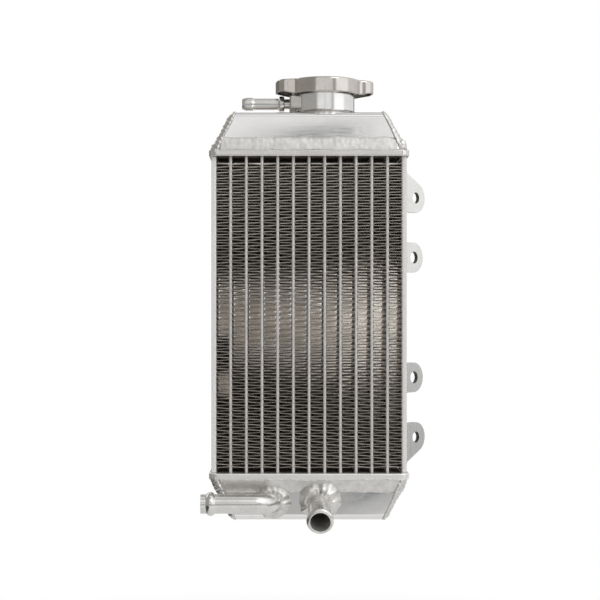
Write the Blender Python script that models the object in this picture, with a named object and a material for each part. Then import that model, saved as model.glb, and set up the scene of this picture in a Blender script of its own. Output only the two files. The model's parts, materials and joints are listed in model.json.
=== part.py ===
# Small aluminium radiator: a brazed core of upright flat tubes and corrugated fins between two
# welded tanks, with a filler neck and pressure cap, two hose stubs and four mounting tabs.
# Metres, +Z up. The front faces -Y. The origin is the middle of the bottom tank's underside.

import math

import bmesh
import bpy
from mathutils import Matrix, Vector

MM = 0.001

# Clearances
GAP = 0.3 * MM                    # between pieces that touch on the real radiator
SLIDE_GAP = 0.6 * MM              # around pieces that slide or turn

# Core
TUBE_COUNT = 11
TUBE_THICKNESS = 2.0 * MM
TUBE_WALL = 0.4 * MM
TUBE_SETBACK = 0.5 * MM           # tube edge behind the fin edge, front and back
TUBE_END = 2.0 * MM               # how far a tube stands out of its header, inside the tank
CORE_DEPTH = 42.0 * MM
CORE_HEIGHT = 201.5 * MM          # header to header
FIN_HEIGHT = 8.0 * MM             # tube to tube
FIN_GAUGE = 0.3 * MM
FIN_LEG_PITCH = 3.6 * MM
FIN_SPACE_TOP = 5.2 * MM          # bare tube between the fins and the header
FIN_SPACE_BOTTOM = 3.8 * MM
SIDE_PLATE_GAUGE = 1.2 * MM
SIDE_PLATE_FLANGE = 3.2 * MM

# Headers and tanks
HEADER_GAUGE = 1.6 * MM
HEADER_RIM = 4.2 * MM
HEADER_CORNER = 3.0 * MM
HEADER_OVERHANG = 1.6 * MM        # past the side plate, at each end
TANK_GAUGE = 1.6 * MM
TANK_BEND = 3.5 * MM
TANK_END_LEAN = 13.7 * MM         # how far each end leans in from base to crown
TANK_TUBE_SPACE = 0.9 * MM        # between a tube edge and the tank wall
TOP_TANK_HEIGHT = 28.2 * MM
BOTTOM_TANK_HEIGHT = 29.7 * MM
BAFFLE_GAUGE = 1.6 * MM
BAFFLE_AFTER_TUBE = 5             # counted from the left

# Hose stubs on the bottom tank
STUB_END_LIP = 0.4 * MM           # rounding of a stub's open end
BEAD_HEIGHT = 1.4 * MM
ELBOW_X = -23.4 * MM
ELBOW_HEIGHT = 12.0 * MM          # axis above the tank's underside
ELBOW_RADIUS = 6.1 * MM
ELBOW_BORE = 4.9 * MM
ELBOW_BEND = 12.5 * MM
ELBOW_LEAD = 2.5 * MM             # straight run out of the tank wall
ELBOW_RUN = 32.3 * MM             # straight run after the bend
ELBOW_LIP = 3.6 * MM              # from the open end to the bead
ELBOW_BEAD = 5.4 * MM
OUTLET_X = 6.2 * MM
OUTLET_HEIGHT = 11.2 * MM
OUTLET_RADIUS = 7.1 * MM
OUTLET_BORE = 6.2 * MM
OUTLET_LEAD = 2.0 * MM
OUTLET_BEND = 15.0 * MM
OUTLET_TILT = math.radians(17.5)
OUTLET_RUN = 26.5 * MM
OUTLET_LIP = 0.5 * MM
OUTLET_BEAD = 3.2 * MM

# Mounting tabs on the right side plate
TAB_GAUGE = 2.5 * MM
TAB_WIDTH = 19.5 * MM
TAB_HOLE_INNER = 3.8 * MM
TAB_HOLE_OUTER = 3.5 * MM
TAB_TILT = math.radians(42)
TAB_FOOT = 10.0 * MM
TAB_ROOT_Y = -4.0 * MM
TAB_BEND = 2.0 * MM
TAB_REACH_INNER = 8.0 * MM        # bend to hole
TAB_REACH_OUTER = 10.0 * MM
TAB_GUSSET = 6.3 * MM             # extra foot height on the outer tabs
TAB_TOP_SPACE = 24.4 * MM         # top header to the first hole
TAB_BOTTOM_SPACE = 21.0 * MM      # bottom header to the last hole
TAB_PAIR_PITCH = 39.0 * MM

# Filler neck and overflow nipple
NECK_X = 10.4 * MM
NECK_RADIUS = 19.4 * MM
NECK_WALL = 3.0 * MM
NECK_HEIGHT = 19.6 * MM
NECK_COLLAR = 2.2 * MM            # collar past the neck wall
NECK_SEAT = 3.6 * MM              # valve seat above the tank
NECK_SEAT_WIDTH = 4.4 * MM
NECK_SPIGOT_WALL = 2.0 * MM
NECK_SPIGOT_DEPTH = 3.0 * MM
BOSS_REACH = 3.3 * MM             # boss face past the neck wall
BOSS_WIDTH = 24.0 * MM
BOSS_HEIGHT = 8.0 * MM
NIPPLE_HEIGHT = 7.9 * MM          # axis above the tank
NIPPLE_BORE = 2.0 * MM
NIPPLE_SHANK = 3.2 * MM
NIPPLE_SHANK_DEPTH = 4.4 * MM
NIPPLE_NECK_LENGTH = 3.4 * MM
NIPPLE_COLLAR = 5.0 * MM
NIPPLE_COLLAR_LENGTH = 3.4 * MM
NIPPLE_RADIUS = 3.7 * MM
NIPPLE_LENGTH = 24.0 * MM         # collar to tip
NIPPLE_BARB = 0.5 * MM
NIPPLE_BARB_LENGTH = 7.6 * MM

# Pressure cap
CAP_GAUGE = 1.2 * MM
CAP_HEIGHT = 9.6 * MM
CAP_ROUND = 2.0 * MM
CAP_RISE = 2.0 * MM               # crown underside above the neck
EAR_LENGTH = 8.1 * MM             # ear past the round skirt
EAR_WIDTH = 20.0 * MM
EAR_CORNER = 6.0 * MM
EAR_DROP = 1.3 * MM               # crown's fall to an ear's tip
EAR_TURN = math.radians(9.4)      # ears past the tank's length, with the cap at rest
LUG_ANGLE = math.radians(48)
LUG_CLEARANCE = 0.4 * MM
DIAPHRAGM_GAUGE = 0.6 * MM
BELL_GAUGE = 0.9 * MM
BELL_LIP = 1.5 * MM
RIVET_RADIUS = 2.0 * MM
RIVET_HEAD = 4.0 * MM
RIVET_HEAD_HEIGHT = 1.0 * MM
GASKET_THICKNESS = 1.6 * MM
GASKET_HOLE = 5.0 * MM
PLATE_GAUGE = 1.2 * MM
SPRING_WIRE = 1.6 * MM
SPRING_RADIUS = 9.5 * MM
SPRING_TURNS = 4
VACUUM_DISC_GAUGE = 1.0 * MM
VACUUM_STEM = 1.4 * MM
VACUUM_HEAD = 3.0 * MM
VACUUM_HEAD_GAUGE = 0.6 * MM
VACUUM_SPRING_WIRE = 0.5 * MM
VACUUM_SPRING_RADIUS = 2.3 * MM
VACUUM_SPRING_HEIGHT = 3.9 * MM
VACUUM_SPRING_TURNS = 3

# Facets
ROUND_STEPS = 32
PIPE_STEPS = 16
CORNER_STEPS = 4
COIL_POINTS = 10                  # for each turn of a spring

# Finishes: colour, roughness, metallic
FINISHES = {
    "tube_aluminium": ((0.72, 0.73, 0.74), 0.35, 1.0),
    "fin_aluminium": ((0.30, 0.30, 0.29), 0.50, 1.0),
    "tank_aluminium": ((0.76, 0.77, 0.79), 0.32, 1.0),
    "tab_aluminium": ((0.70, 0.70, 0.71), 0.42, 1.0),
    "polished_pipe": ((0.78, 0.78, 0.78), 0.18, 1.0),
    "cap_chrome": ((0.80, 0.80, 0.81), 0.10, 1.0),
    "cap_steel": ((0.58, 0.58, 0.57), 0.30, 1.0),
    "spring_steel": ((0.48, 0.48, 0.49), 0.30, 1.0),
    "black_rubber": ((0.03, 0.03, 0.03), 0.75, 0.0),
}

# Places worked out from the sizes above
tube_pitch = TUBE_THICKNESS + FIN_HEIGHT
tube_depth = CORE_DEPTH - 2 * TUBE_SETBACK
core_half_width = (TUBE_COUNT * TUBE_THICKNESS + (TUBE_COUNT + 1) * FIN_HEIGHT) / 2
side_plate_outer = core_half_width + SIDE_PLATE_FLANGE
bottom_header_z = BOTTOM_TANK_HEIGHT
top_header_z = bottom_header_z + CORE_HEIGHT
tank_top_z = top_header_z + TOP_TANK_HEIGHT
tank_depth = tube_depth + 2 * (TANK_TUBE_SPACE + TANK_GAUGE)
header_half_length = side_plate_outer + HEADER_OVERHANG
header_depth = tank_depth + 2 * (GAP + HEADER_GAUGE)
tank_base_z = HEADER_GAUGE + GAP                              # above the header's core side
tank_base_half = header_half_length - HEADER_GAUGE - GAP
tank_front_y = -tank_depth / 2

neck_bore = NECK_RADIUS - NECK_WALL
neck_throat = neck_bore - NECK_SEAT_WIDTH
collar_radius = NECK_RADIUS + NECK_COLLAR
skirt_bore = collar_radius + SLIDE_GAP
cap_radius = skirt_bore + CAP_GAUGE
lug_radius = NECK_RADIUS + SLIDE_GAP                          # the lugs pass under the collar

cap_top = NECK_HEIGHT + CAP_RISE + CAP_GAUGE                  # these are above the tank
cap_bottom = cap_top - CAP_HEIGHT
collar_bottom = cap_bottom + CAP_GAUGE + LUG_CLEARANCE
gasket_bottom = NECK_SEAT + GAP
plate_bottom = gasket_bottom + GASKET_THICKNESS + GAP
plate_top = plate_bottom + PLATE_GAUGE
diaphragm_bottom = NECK_HEIGHT + GAP
bell_top = diaphragm_bottom - GAP
bell_radius = neck_bore - SLIDE_GAP
lip_radius = bell_radius - BELL_GAUGE - BELL_LIP


def circle(radius, steps):
    turn = 2 * math.pi / steps
    return [(radius * math.cos(i * turn), radius * math.sin(i * turn)) for i in range(steps)]


def arc(centre, radius, start, end, steps=CORNER_STEPS):
    angles = [start + (end - start) * i / steps for i in range(steps + 1)]
    return [(centre[0] + radius * math.cos(a), centre[1] + radius * math.sin(a)) for a in angles]


def rounded_rectangle(width, height, radius):
    x = width / 2 - radius
    y = height / 2 - radius
    quarter = math.pi / 2
    corners = [(x, y), (-x, y), (-x, -y), (x, -y)]
    outline = []
    for i, corner in enumerate(corners):
        outline += arc(corner, radius, i * quarter, (i + 1) * quarter)
    return outline


def at_height(outline, z):
    return [(x, y, z) for x, y in outline]


def add_loft(bm, loops, wrap=False):
    # Skins loops of equal count. The ends are capped, or joined to each other with wrap.
    rings = [[bm.verts.new(point) for point in loop] for loop in loops]
    pairs = list(zip(rings, rings[1:]))
    if wrap:
        pairs.append((rings[-1], rings[0]))
    else:
        bm.faces.new(rings[0][::-1])
        bm.faces.new(rings[-1])
    for low, high in pairs:
        for i in range(len(low)):
            j = (i + 1) % len(low)
            bm.faces.new((low[i], low[j], high[j], high[i]))


def loft(loops, wrap=False):
    bm = bmesh.new()
    add_loft(bm, loops, wrap)
    return bm


def turned(profile, steps=ROUND_STEPS):
    # Spins a closed (radius, height) profile about Z.
    bm = bmesh.new()
    verts = [bm.verts.new((radius, 0, z)) for radius, z in profile]
    edges = [bm.edges.new((a, b)) for a, b in zip(verts, verts[1:] + verts[:1])]
    bmesh.ops.spin(
        bm, geom=verts + edges, cent=(0, 0, 0), axis=(0, 0, 1),
        angle=2 * math.pi, steps=steps, use_merge=True,
    )
    bmesh.ops.remove_doubles(bm, verts=bm.verts[:], dist=1e-7)
    lone = [edge for edge in bm.edges if not edge.link_faces]
    bmesh.ops.delete(bm, geom=lone, context="EDGES")
    return bm


def box(low, high):
    outline = [(low[0], low[1]), (high[0], low[1]), (high[0], high[1]), (low[0], high[1])]
    return loft([at_height(outline, low[2]), at_height(outline, high[2])])


def cylinder(radius, low, high, steps=ROUND_STEPS):
    outline = circle(radius, steps)
    return loft([at_height(outline, low), at_height(outline, high)])


def make_mesh(name, bm):
    bmesh.ops.recalc_face_normals(bm, faces=bm.faces[:])
    mesh = bpy.data.meshes.new(name)
    bm.to_mesh(mesh)
    bm.free()
    mesh.shade_smooth()
    mesh.set_sharp_from_angle(angle=math.radians(35))
    return mesh


def add_piece(name, mesh, parent, location=(0, 0, 0), rotation=(0, 0, 0)):
    piece = bpy.data.objects.new(name, mesh)
    piece.location = location
    piece.rotation_euler = rotation
    piece.parent = parent
    bpy.context.scene.collection.objects.link(piece)
    return piece


def add_empty(name, parent=None, location=(0, 0, 0)):
    return add_piece(name, None, parent, location)


def finished(mesh, finish):
    mesh.materials.append(bpy.data.materials[finish])
    return mesh


def make_finishes():
    for name, (colour, roughness, metallic) in FINISHES.items():
        material = bpy.data.materials.new(name)
        material.use_nodes = True
        shader = material.node_tree.nodes["Principled BSDF"]
        shader.inputs["Base Color"].default_value = (*colour, 1)
        shader.inputs["Roughness"].default_value = roughness
        shader.inputs["Metallic"].default_value = metallic


def combine(piece, bm, operation, location=(0, 0, 0), rotation=(0, 0, 0)):
    # Adds a Boolean with a helper that sits in the same parent as the piece.
    label = f"{piece.name}_{operation.lower()}_{len(piece.modifiers) + 1}"
    helper = add_piece(label, make_mesh(label, bm), piece.parent, location, rotation)
    helper.hide_render = True
    helper.display_type = "WIRE"
    boolean = piece.modifiers.new(label, "BOOLEAN")
    boolean.operation = operation
    boolean.solver = "EXACT"
    boolean.object = helper


# Core

def tube_x(number):
    return (number - (TUBE_COUNT - 1) / 2) * tube_pitch


def obround(thickness, depth):
    # A flat tube's section: straight sides along Y with half-round ends.
    radius = thickness / 2
    reach = depth / 2 - radius
    return arc((0, reach), radius, 0, math.pi) + arc((0, -reach), radius, math.pi, 2 * math.pi)


def make_tubes(parent):
    length = CORE_HEIGHT + 2 * (HEADER_GAUGE + TUBE_END)
    outer = obround(TUBE_THICKNESS, tube_depth)
    inner = obround(TUBE_THICKNESS - 2 * TUBE_WALL, tube_depth - 2 * TUBE_WALL)
    low, high = -length / 2, length / 2
    loops = [at_height(outer, low), at_height(outer, high)]
    loops += [at_height(inner, high), at_height(inner, low)]
    mesh = finished(make_mesh("flat_tube", loft(loops, wrap=True)), "tube_aluminium")
    for number in range(TUBE_COUNT):
        add_piece(f"tube_{number + 1:02d}", mesh, parent, (tube_x(number), 0, 0))


def make_fins(parent):
    # One corrugated strip: each leg crosses from one tube to the next, and each fold lies on a tube.
    low = -CORE_HEIGHT / 2 + FIN_SPACE_BOTTOM
    high = CORE_HEIGHT / 2 - FIN_SPACE_TOP
    legs = round((high - low) / FIN_LEG_PITCH)
    reach = FIN_HEIGHT / 2 - GAP
    fold = FIN_GAUGE * FIN_HEIGHT / FIN_LEG_PITCH             # the gauge measured across a fold
    front, back = -CORE_DEPTH / 2, CORE_DEPTH / 2
    loops = []
    for i in range(legs + 1):
        near = reach - fold if i % 2 else -reach
        far = near + fold
        z = low + (high - low) * i / legs
        loops.append([(near, front, z), (far, front, z), (far, back, z), (near, back, z)])
    mesh = finished(make_mesh("corrugated_fin", loft(loops)), "fin_aluminium")
    for number in range(TUBE_COUNT + 1):
        add_piece(f"fin_{number + 1:02d}", mesh, parent, (tube_x(number) - tube_pitch / 2, 0, 0))


def make_side_plates(parent):
    # A channel: its web lies on the outer fin and its flanges point outwards.
    half = CORE_DEPTH / 2
    bend = SIDE_PLATE_GAUGE
    quarter = math.pi / 2
    outline = [(SIDE_PLATE_FLANGE, -half + SIDE_PLATE_GAUGE), (SIDE_PLATE_FLANGE, -half)]
    outline += arc((bend, -half + bend), bend, -quarter, -2 * quarter)
    outline += arc((bend, half - bend), bend, 2 * quarter, quarter)
    outline += [(SIDE_PLATE_FLANGE, half), (SIDE_PLATE_FLANGE, half - SIDE_PLATE_GAUGE)]
    outline += [(SIDE_PLATE_GAUGE, half - SIDE_PLATE_GAUGE)]
    outline += [(SIDE_PLATE_GAUGE, -half + SIDE_PLATE_GAUGE)]
    reach = CORE_HEIGHT / 2 - GAP
    loops = [at_height(outline, -reach), at_height(outline, reach)]
    mesh = finished(make_mesh("side_channel", loft(loops)), "tank_aluminium")
    add_piece("side_plate_right", mesh, parent, (core_half_width, 0, 0))
    add_piece("side_plate_left", mesh, parent, (-core_half_width, 0, 0), (0, 0, math.pi))


# Headers and tanks, each modelled with its core side at height 0 and facing up

def make_header(name, parent):
    length = 2 * header_half_length
    edge = HEADER_GAUGE / 2
    inset = 2 * HEADER_GAUGE
    pocket = rounded_rectangle(length - inset, header_depth - inset, 2 * GAP)
    outline = rounded_rectangle(length, header_depth, HEADER_CORNER)
    underside = rounded_rectangle(length - 2 * edge, header_depth - 2 * edge, HEADER_CORNER - edge)
    loops = [at_height(underside, 0), at_height(outline, edge), at_height(outline, HEADER_RIM)]
    loops += [at_height(pocket, HEADER_RIM), at_height(pocket, HEADER_GAUGE)]
    header = add_piece(name, finished(make_mesh(name, loft(loops)), "tank_aluminium"), parent)
    slots = bmesh.new()
    slot = obround(TUBE_THICKNESS + 2 * GAP, tube_depth + 2 * GAP)
    for number in range(TUBE_COUNT):
        outline = [(x + tube_x(number), y) for x, y in slot]
        add_loft(slots, [at_height(outline, -HEADER_GAUGE), at_height(outline, 2 * HEADER_GAUGE)])
    combine(header, slots, "DIFFERENCE")


def tank_outline(height, inset, base):
    # Half of the way round the tank's section and back: up the front, over the crown, down the back.
    half = tank_depth / 2 - inset
    crown = height - inset
    radius = max(TANK_BEND - inset, TANK_GAUGE / 4)
    quarter = math.pi / 2
    points = [(-half, base)]
    points += arc((-half + radius, crown - radius), radius, 2 * quarter, quarter)
    points += arc((half - radius, crown - radius), radius, quarter, 0)
    return points + [(half, base)]


def make_tank(name, height, parent):
    run = height - tank_base_z
    stretch = math.hypot(run, TANK_END_LEAN) / run            # sloped gauge measured along X

    def end_x(z, inset):
        return tank_base_half - TANK_END_LEAN * (z - tank_base_z) / run - inset * stretch

    outer = tank_outline(height, 0, tank_base_z)
    inner = tank_outline(height, TANK_GAUGE, tank_base_z)
    loops = []
    for (y, z), (inner_y, inner_z) in zip(outer, inner):
        end = end_x(z, TANK_GAUGE + GAP)
        inner_end = end_x(inner_z, TANK_GAUGE + GAP)
        outside = [(-end, y, z), (end, y, z)]
        loops.append(outside + [(inner_end, inner_y, inner_z), (-inner_end, inner_y, inner_z)])
    mesh = finished(make_mesh(name, loft(loops)), "tank_aluminium")
    shell = add_piece(f"{name}_shell", mesh, parent)
    sides = [[(end_x(z, inset), y, z) for y, z in outer] for inset in (TANK_GAUGE, 0)]
    mesh = finished(make_mesh(f"{name}_end", loft(sides)), "tank_aluminium")
    add_piece(f"{name}_end_right", mesh, parent)
    add_piece(f"{name}_end_left", mesh, parent, rotation=(0, 0, math.pi))
    return shell


def make_baffle(parent):
    outline = tank_outline(BOTTOM_TANK_HEIGHT, TANK_GAUGE + GAP, tank_base_z)
    x = tube_x(BAFFLE_AFTER_TUBE - 1) + tube_pitch / 2
    sides = [[(x + side * BAFFLE_GAUGE / 2, y, z) for y, z in outline] for side in (-1, 1)]
    mesh = finished(make_mesh("baffle", loft(sides)), "tank_aluminium")
    add_piece("bottom_tank_baffle", mesh, parent)


# Hose stubs

def straight_path(distance):
    return Vector((distance, 0, 0)), 0


def bent_path(lead, bend, angle, steps):
    # A path that starts along +X and turns towards +Y. Returns its point and heading at a distance.
    length = bend * angle

    def at(distance):
        if distance <= lead:
            return straight_path(distance)
        turn = min((distance - lead) / bend, angle)
        point = Vector((lead + bend * math.sin(turn), bend * (1 - math.cos(turn)), 0))
        rest = max(distance - lead - length, 0)
        return point + rest * Vector((math.cos(turn), math.sin(turn), 0)), turn

    return at, [lead + length * i / steps for i in range(steps + 1)]


def pipe(at, bends, outer, bore):
    # A hollow pipe. outer lists (distance, radius) from end to end, and bends are extra stations.
    start, end = outer[0][0], outer[-1][0]

    def radius_at(distance):
        for (near, small), (far, large) in zip(outer, outer[1:]):
            if near <= distance <= far:
                return small + (large - small) * (distance - near) / (far - near)
        return outer[-1][1]

    def ring(distance, radius):
        point, turn = at(distance)
        side = Vector((-math.sin(turn), math.cos(turn), 0))
        return [point + side * x + Vector((0, 0, y)) for x, y in circle(radius, PIPE_STEPS)]

    inside = [distance for distance in bends if start < distance < end]
    apart = MM / 10
    added = [d for d in inside if all(abs(d - near) > apart for near, _ in outer)]
    stations = sorted(outer + [(d, radius_at(d)) for d in added])
    loops = [ring(distance, radius) for distance, radius in stations]
    loops += [ring(distance, bore) for distance in [end] + inside[::-1] + [start]]
    return loft(loops, wrap=True)


def bead(start, length, radius):
    # A rolled bead as (distance, radius) pairs.
    steps = 2 * CORNER_STEPS
    return [
        (start + length * i / steps, radius + BEAD_HEIGHT * math.sin(math.pi * i / steps))
        for i in range(steps + 1)
    ]


def open_end(end, radius):
    return [(end - STUB_END_LIP, radius), (end, radius - STUB_END_LIP)]


def make_elbow(parent, shell):
    # Starts in the tank wall, heading forward (-Y), and turns to the left (-X).
    at, bends = bent_path(TANK_GAUGE + ELBOW_LEAD, ELBOW_BEND, math.pi / 2, 2 * CORNER_STEPS)
    end = bends[-1] + ELBOW_RUN
    outer = [(0, ELBOW_RADIUS)] + bead(end - ELBOW_LIP - ELBOW_BEAD, ELBOW_BEAD, ELBOW_RADIUS)
    outer += open_end(end, ELBOW_RADIUS)
    mesh = finished(make_mesh("elbow", pipe(at, bends, outer, ELBOW_BORE)), "polished_pipe")
    turn = Matrix(((0, -1, 0), (-1, 0, 0), (0, 0, -1))).to_euler()
    start = (ELBOW_X, tank_front_y + TANK_GAUGE, ELBOW_HEIGHT)
    add_piece("elbow_stub", mesh, parent, start, turn)
    pierce_front(shell, ELBOW_X, ELBOW_HEIGHT, ELBOW_RADIUS)


def make_outlet(parent, shell):
    # Starts in the tank wall, heading forward (-Y), and tips downwards (-Z).
    at, bends = bent_path(TANK_GAUGE + OUTLET_LEAD, OUTLET_BEND, OUTLET_TILT, CORNER_STEPS)
    end = bends[-1] + OUTLET_RUN
    outer = [(0, OUTLET_RADIUS)] + bead(end - OUTLET_LIP - OUTLET_BEAD, OUTLET_BEAD, OUTLET_RADIUS)
    outer += open_end(end, OUTLET_RADIUS)
    mesh = finished(make_mesh("outlet", pipe(at, bends, outer, OUTLET_BORE)), "polished_pipe")
    turn = Matrix(((0, 0, 1), (-1, 0, 0), (0, -1, 0))).to_euler()
    start = (OUTLET_X, tank_front_y + TANK_GAUGE, OUTLET_HEIGHT)
    add_piece("outlet_stub", mesh, parent, start, turn)
    pierce_front(shell, OUTLET_X, OUTLET_HEIGHT, OUTLET_RADIUS)


def pierce_front(shell, x, height, radius):
    # The bottom tank is turned over: its front wall is on +Y and heights run down from the header.
    hole = cylinder(radius + GAP, -2 * TANK_GAUGE, 2 * TANK_GAUGE, PIPE_STEPS)
    place = (x, -tank_front_y - TANK_GAUGE / 2, BOTTOM_TANK_HEIGHT - height)
    combine(shell, hole, "DIFFERENCE", place, (math.pi / 2, 0, 0))


# Mounting tabs

def tab_blank(reach, gusset):
    # The flat blank of an ear past its bend, as (distance from the bend, height from the hole).
    radius = TAB_WIDTH / 2
    corner = Vector((0, radius + gusset))
    away = math.hypot(corner.x - reach, corner.y)
    bearing = math.atan2(corner.y, corner.x - reach)
    touch = bearing - math.acos(min(radius / away, 1))        # where the sloped edge meets the round end
    round_end = arc((reach, 0), radius, -math.pi / 2, touch, 3 * CORNER_STEPS)
    return [(0, -radius)] + round_end + [(0, corner.y)]


def make_tab(name, parent, height, reach, hole_radius, gusset, side):
    # A strip folded once: its foot lies in the channel and its ear leans out and back.
    web = core_half_width + SIDE_PLATE_GAUGE + GAP
    bm = bmesh.new()
    blank = tab_blank(reach, gusset)
    low, high = blank[0][1], blank[-1][1]
    radius = TAB_BEND + TAB_GAUGE
    fold = arc((web + radius, TAB_ROOT_Y), radius, math.pi, math.pi - TAB_TILT)
    path = [Vector((web, TAB_ROOT_Y - TAB_FOOT))] + [Vector(point) for point in fold]
    along = Vector((math.sin(TAB_TILT), math.cos(TAB_TILT)))
    columns = [[bm.verts.new((p.x, p.y, side * z)) for z in (low, high)] for p in path]
    for near, far in zip(columns, columns[1:]):
        bm.faces.new((near[0], far[0], far[1], near[1]))
    ear = []
    for distance, z in blank[1:-1]:
        p = path[-1] + along * distance
        ear.append(bm.verts.new((p.x, p.y, side * z)))
    bm.faces.new([columns[-1][0]] + ear + [columns[-1][1]])
    mesh = finished(make_mesh(name, bm), "tab_aluminium")
    tab = add_piece(name, mesh, parent, (0, 0, height))
    gauge = tab.modifiers.new("gauge", "SOLIDIFY")
    gauge.thickness = TAB_GAUGE
    gauge.use_even_offset = True
    outward = mesh.polygons[0].normal.x > 0
    gauge.offset = 1 if outward else -1
    centre = path[-1] + along * reach
    hole = cylinder(hole_radius, -2 * TAB_GAUGE, 2 * TAB_GAUGE, PIPE_STEPS)
    lean = Matrix.Rotation(-TAB_TILT, 3, "Z") @ Matrix.Rotation(math.pi / 2, 3, "Y")
    combine(tab, hole, "DIFFERENCE", (centre.x, centre.y, height), lean.to_euler())


def make_tabs(parent):
    first = CORE_HEIGHT / 2 - TAB_TOP_SPACE
    last = -CORE_HEIGHT / 2 + TAB_BOTTOM_SPACE
    inner = (TAB_REACH_INNER, TAB_HOLE_INNER, 0)
    outer = (TAB_REACH_OUTER, TAB_HOLE_OUTER, TAB_GUSSET)
    make_tab("tab_upper_outer", parent, first, *outer, 1)
    make_tab("tab_upper_inner", parent, first - TAB_PAIR_PITCH, *inner, 1)
    make_tab("tab_lower_inner", parent, last + TAB_PAIR_PITCH, *inner, -1)
    make_tab("tab_lower_outer", parent, last, *outer, -1)


# Filler neck and overflow nipple, with heights measured from the tank's crown

def ring_sector(inner, outer, angle, low, high, bearing):
    start, end = bearing - angle / 2, bearing + angle / 2
    outline = arc((0, 0), outer, start, end, 2 * CORNER_STEPS)
    outline += arc((0, 0), inner, end, start, 2 * CORNER_STEPS)
    return loft([at_height(outline, low), at_height(outline, high)])


def make_neck(parent, top_shell):
    spigot = neck_throat + NECK_SPIGOT_WALL
    chamfer = NECK_COLLAR / 4
    profile = [(collar_radius - chamfer, NECK_HEIGHT), (collar_radius, NECK_HEIGHT - chamfer)]
    profile += [(collar_radius, collar_bottom), (NECK_RADIUS, collar_bottom), (NECK_RADIUS, GAP)]
    profile += [(spigot, GAP), (spigot, -NECK_SPIGOT_DEPTH), (neck_throat, -NECK_SPIGOT_DEPTH)]
    profile += [(neck_throat, NECK_SEAT), (neck_bore, NECK_SEAT), (neck_bore, NECK_HEIGHT)]
    mesh = finished(make_mesh("filler_neck", turned(profile)), "tank_aluminium")
    neck = add_piece("filler_neck", mesh, parent)
    face = -(NECK_RADIUS + BOSS_REACH)
    half = BOSS_WIDTH / 2
    root = (NECK_RADIUS + neck_bore) / 2
    spread = math.asin(half / root)
    outline = [(face, half), (face, -half)] + arc((0, 0), root, math.pi + spread, math.pi - spread)
    low, high = NIPPLE_HEIGHT - BOSS_HEIGHT / 2, NIPPLE_HEIGHT + BOSS_HEIGHT / 2
    combine(neck, loft([at_height(outline, low), at_height(outline, high)]), "UNION")
    hole = cylinder(NIPPLE_SHANK + GAP, neck_bore / 2, NECK_RADIUS + 2 * BOSS_REACH, PIPE_STEPS)
    combine(neck, hole, "DIFFERENCE", (0, 0, NIPPLE_HEIGHT), (0, -math.pi / 2, 0))
    lug_path = LUG_ANGLE + 4 * LUG_CLEARANCE / collar_radius
    low, high = collar_bottom - GAP, 2 * NECK_HEIGHT
    for bearing in (-math.pi / 2, math.pi / 2):
        notch = ring_sector(NECK_RADIUS, 2 * collar_radius, lug_path, low, high, bearing)
        combine(neck, notch, "DIFFERENCE")
    through = cylinder(spigot + GAP, -TANK_GAUGE, TANK_GAUGE)
    combine(top_shell, through, "DIFFERENCE", (NECK_X, 0, TOP_TANK_HEIGHT - TANK_GAUGE / 2))


def make_nipple(parent):
    # Screwed into the boss from the left, with its tip pointing away from the neck.
    collar_start = NIPPLE_SHANK_DEPTH + NIPPLE_NECK_LENGTH
    collar_end = collar_start + NIPPLE_COLLAR_LENGTH
    end = collar_end + NIPPLE_LENGTH
    edge = NIPPLE_BARB
    barb = NIPPLE_RADIUS + NIPPLE_BARB
    outer = [(0, NIPPLE_SHANK), (collar_start, NIPPLE_SHANK), (collar_start + edge, NIPPLE_COLLAR)]
    outer += [(collar_end - edge, NIPPLE_COLLAR), (collar_end, NIPPLE_RADIUS)]
    outer += [(end - NIPPLE_BARB_LENGTH, NIPPLE_RADIUS), (end - NIPPLE_BARB_LENGTH + edge, barb)]
    outer += [(end - NIPPLE_BARB_LENGTH / 3, barb), (end, NIPPLE_RADIUS - edge)]
    mesh = finished(make_mesh("nipple", pipe(straight_path, [], outer, NIPPLE_BORE)), "polished_pipe")
    start = -(NECK_RADIUS + BOSS_REACH - NIPPLE_SHANK_DEPTH)
    add_piece("overflow_nipple", mesh, parent, (start, 0, NIPPLE_HEIGHT), (0, 0, math.pi))


# Pressure cap, with heights measured from the tank's crown

def cap_outline():
    # A round skirt with two ears: the farther of a circle and a rounded bar in each direction.
    square = rounded_rectangle(2 * (cap_radius + EAR_LENGTH), EAR_WIDTH, EAR_CORNER)
    bar = [Matrix.Rotation(EAR_TURN, 2) @ Vector(point) for point in square]
    steps = 2 * ROUND_STEPS
    outline = []
    for i in range(steps):
        angle = 2 * math.pi * (i + 0.5) / steps
        heading = Vector((math.cos(angle), math.sin(angle)))
        reach = cap_radius
        for a, b in zip(bar, bar[1:] + bar[:1]):
            side = b - a
            across = heading.cross(side)
            if abs(across) < 1e-12:
                continue
            distance = a.cross(side) / across
            share = a.cross(heading) / across
            if distance > 0 and 0 <= share <= 1:
                reach = max(reach, distance)
        outline.append(heading * reach)
    return outline


def inset(outline, distance):
    moved = []
    for i, point in enumerate(outline):
        along = outline[(i + 1) % len(outline)] - outline[i - 1]
        inward = Vector((-along.y, along.x)).normalized()
        moved.append(point + inward * distance)
    return moved


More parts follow.
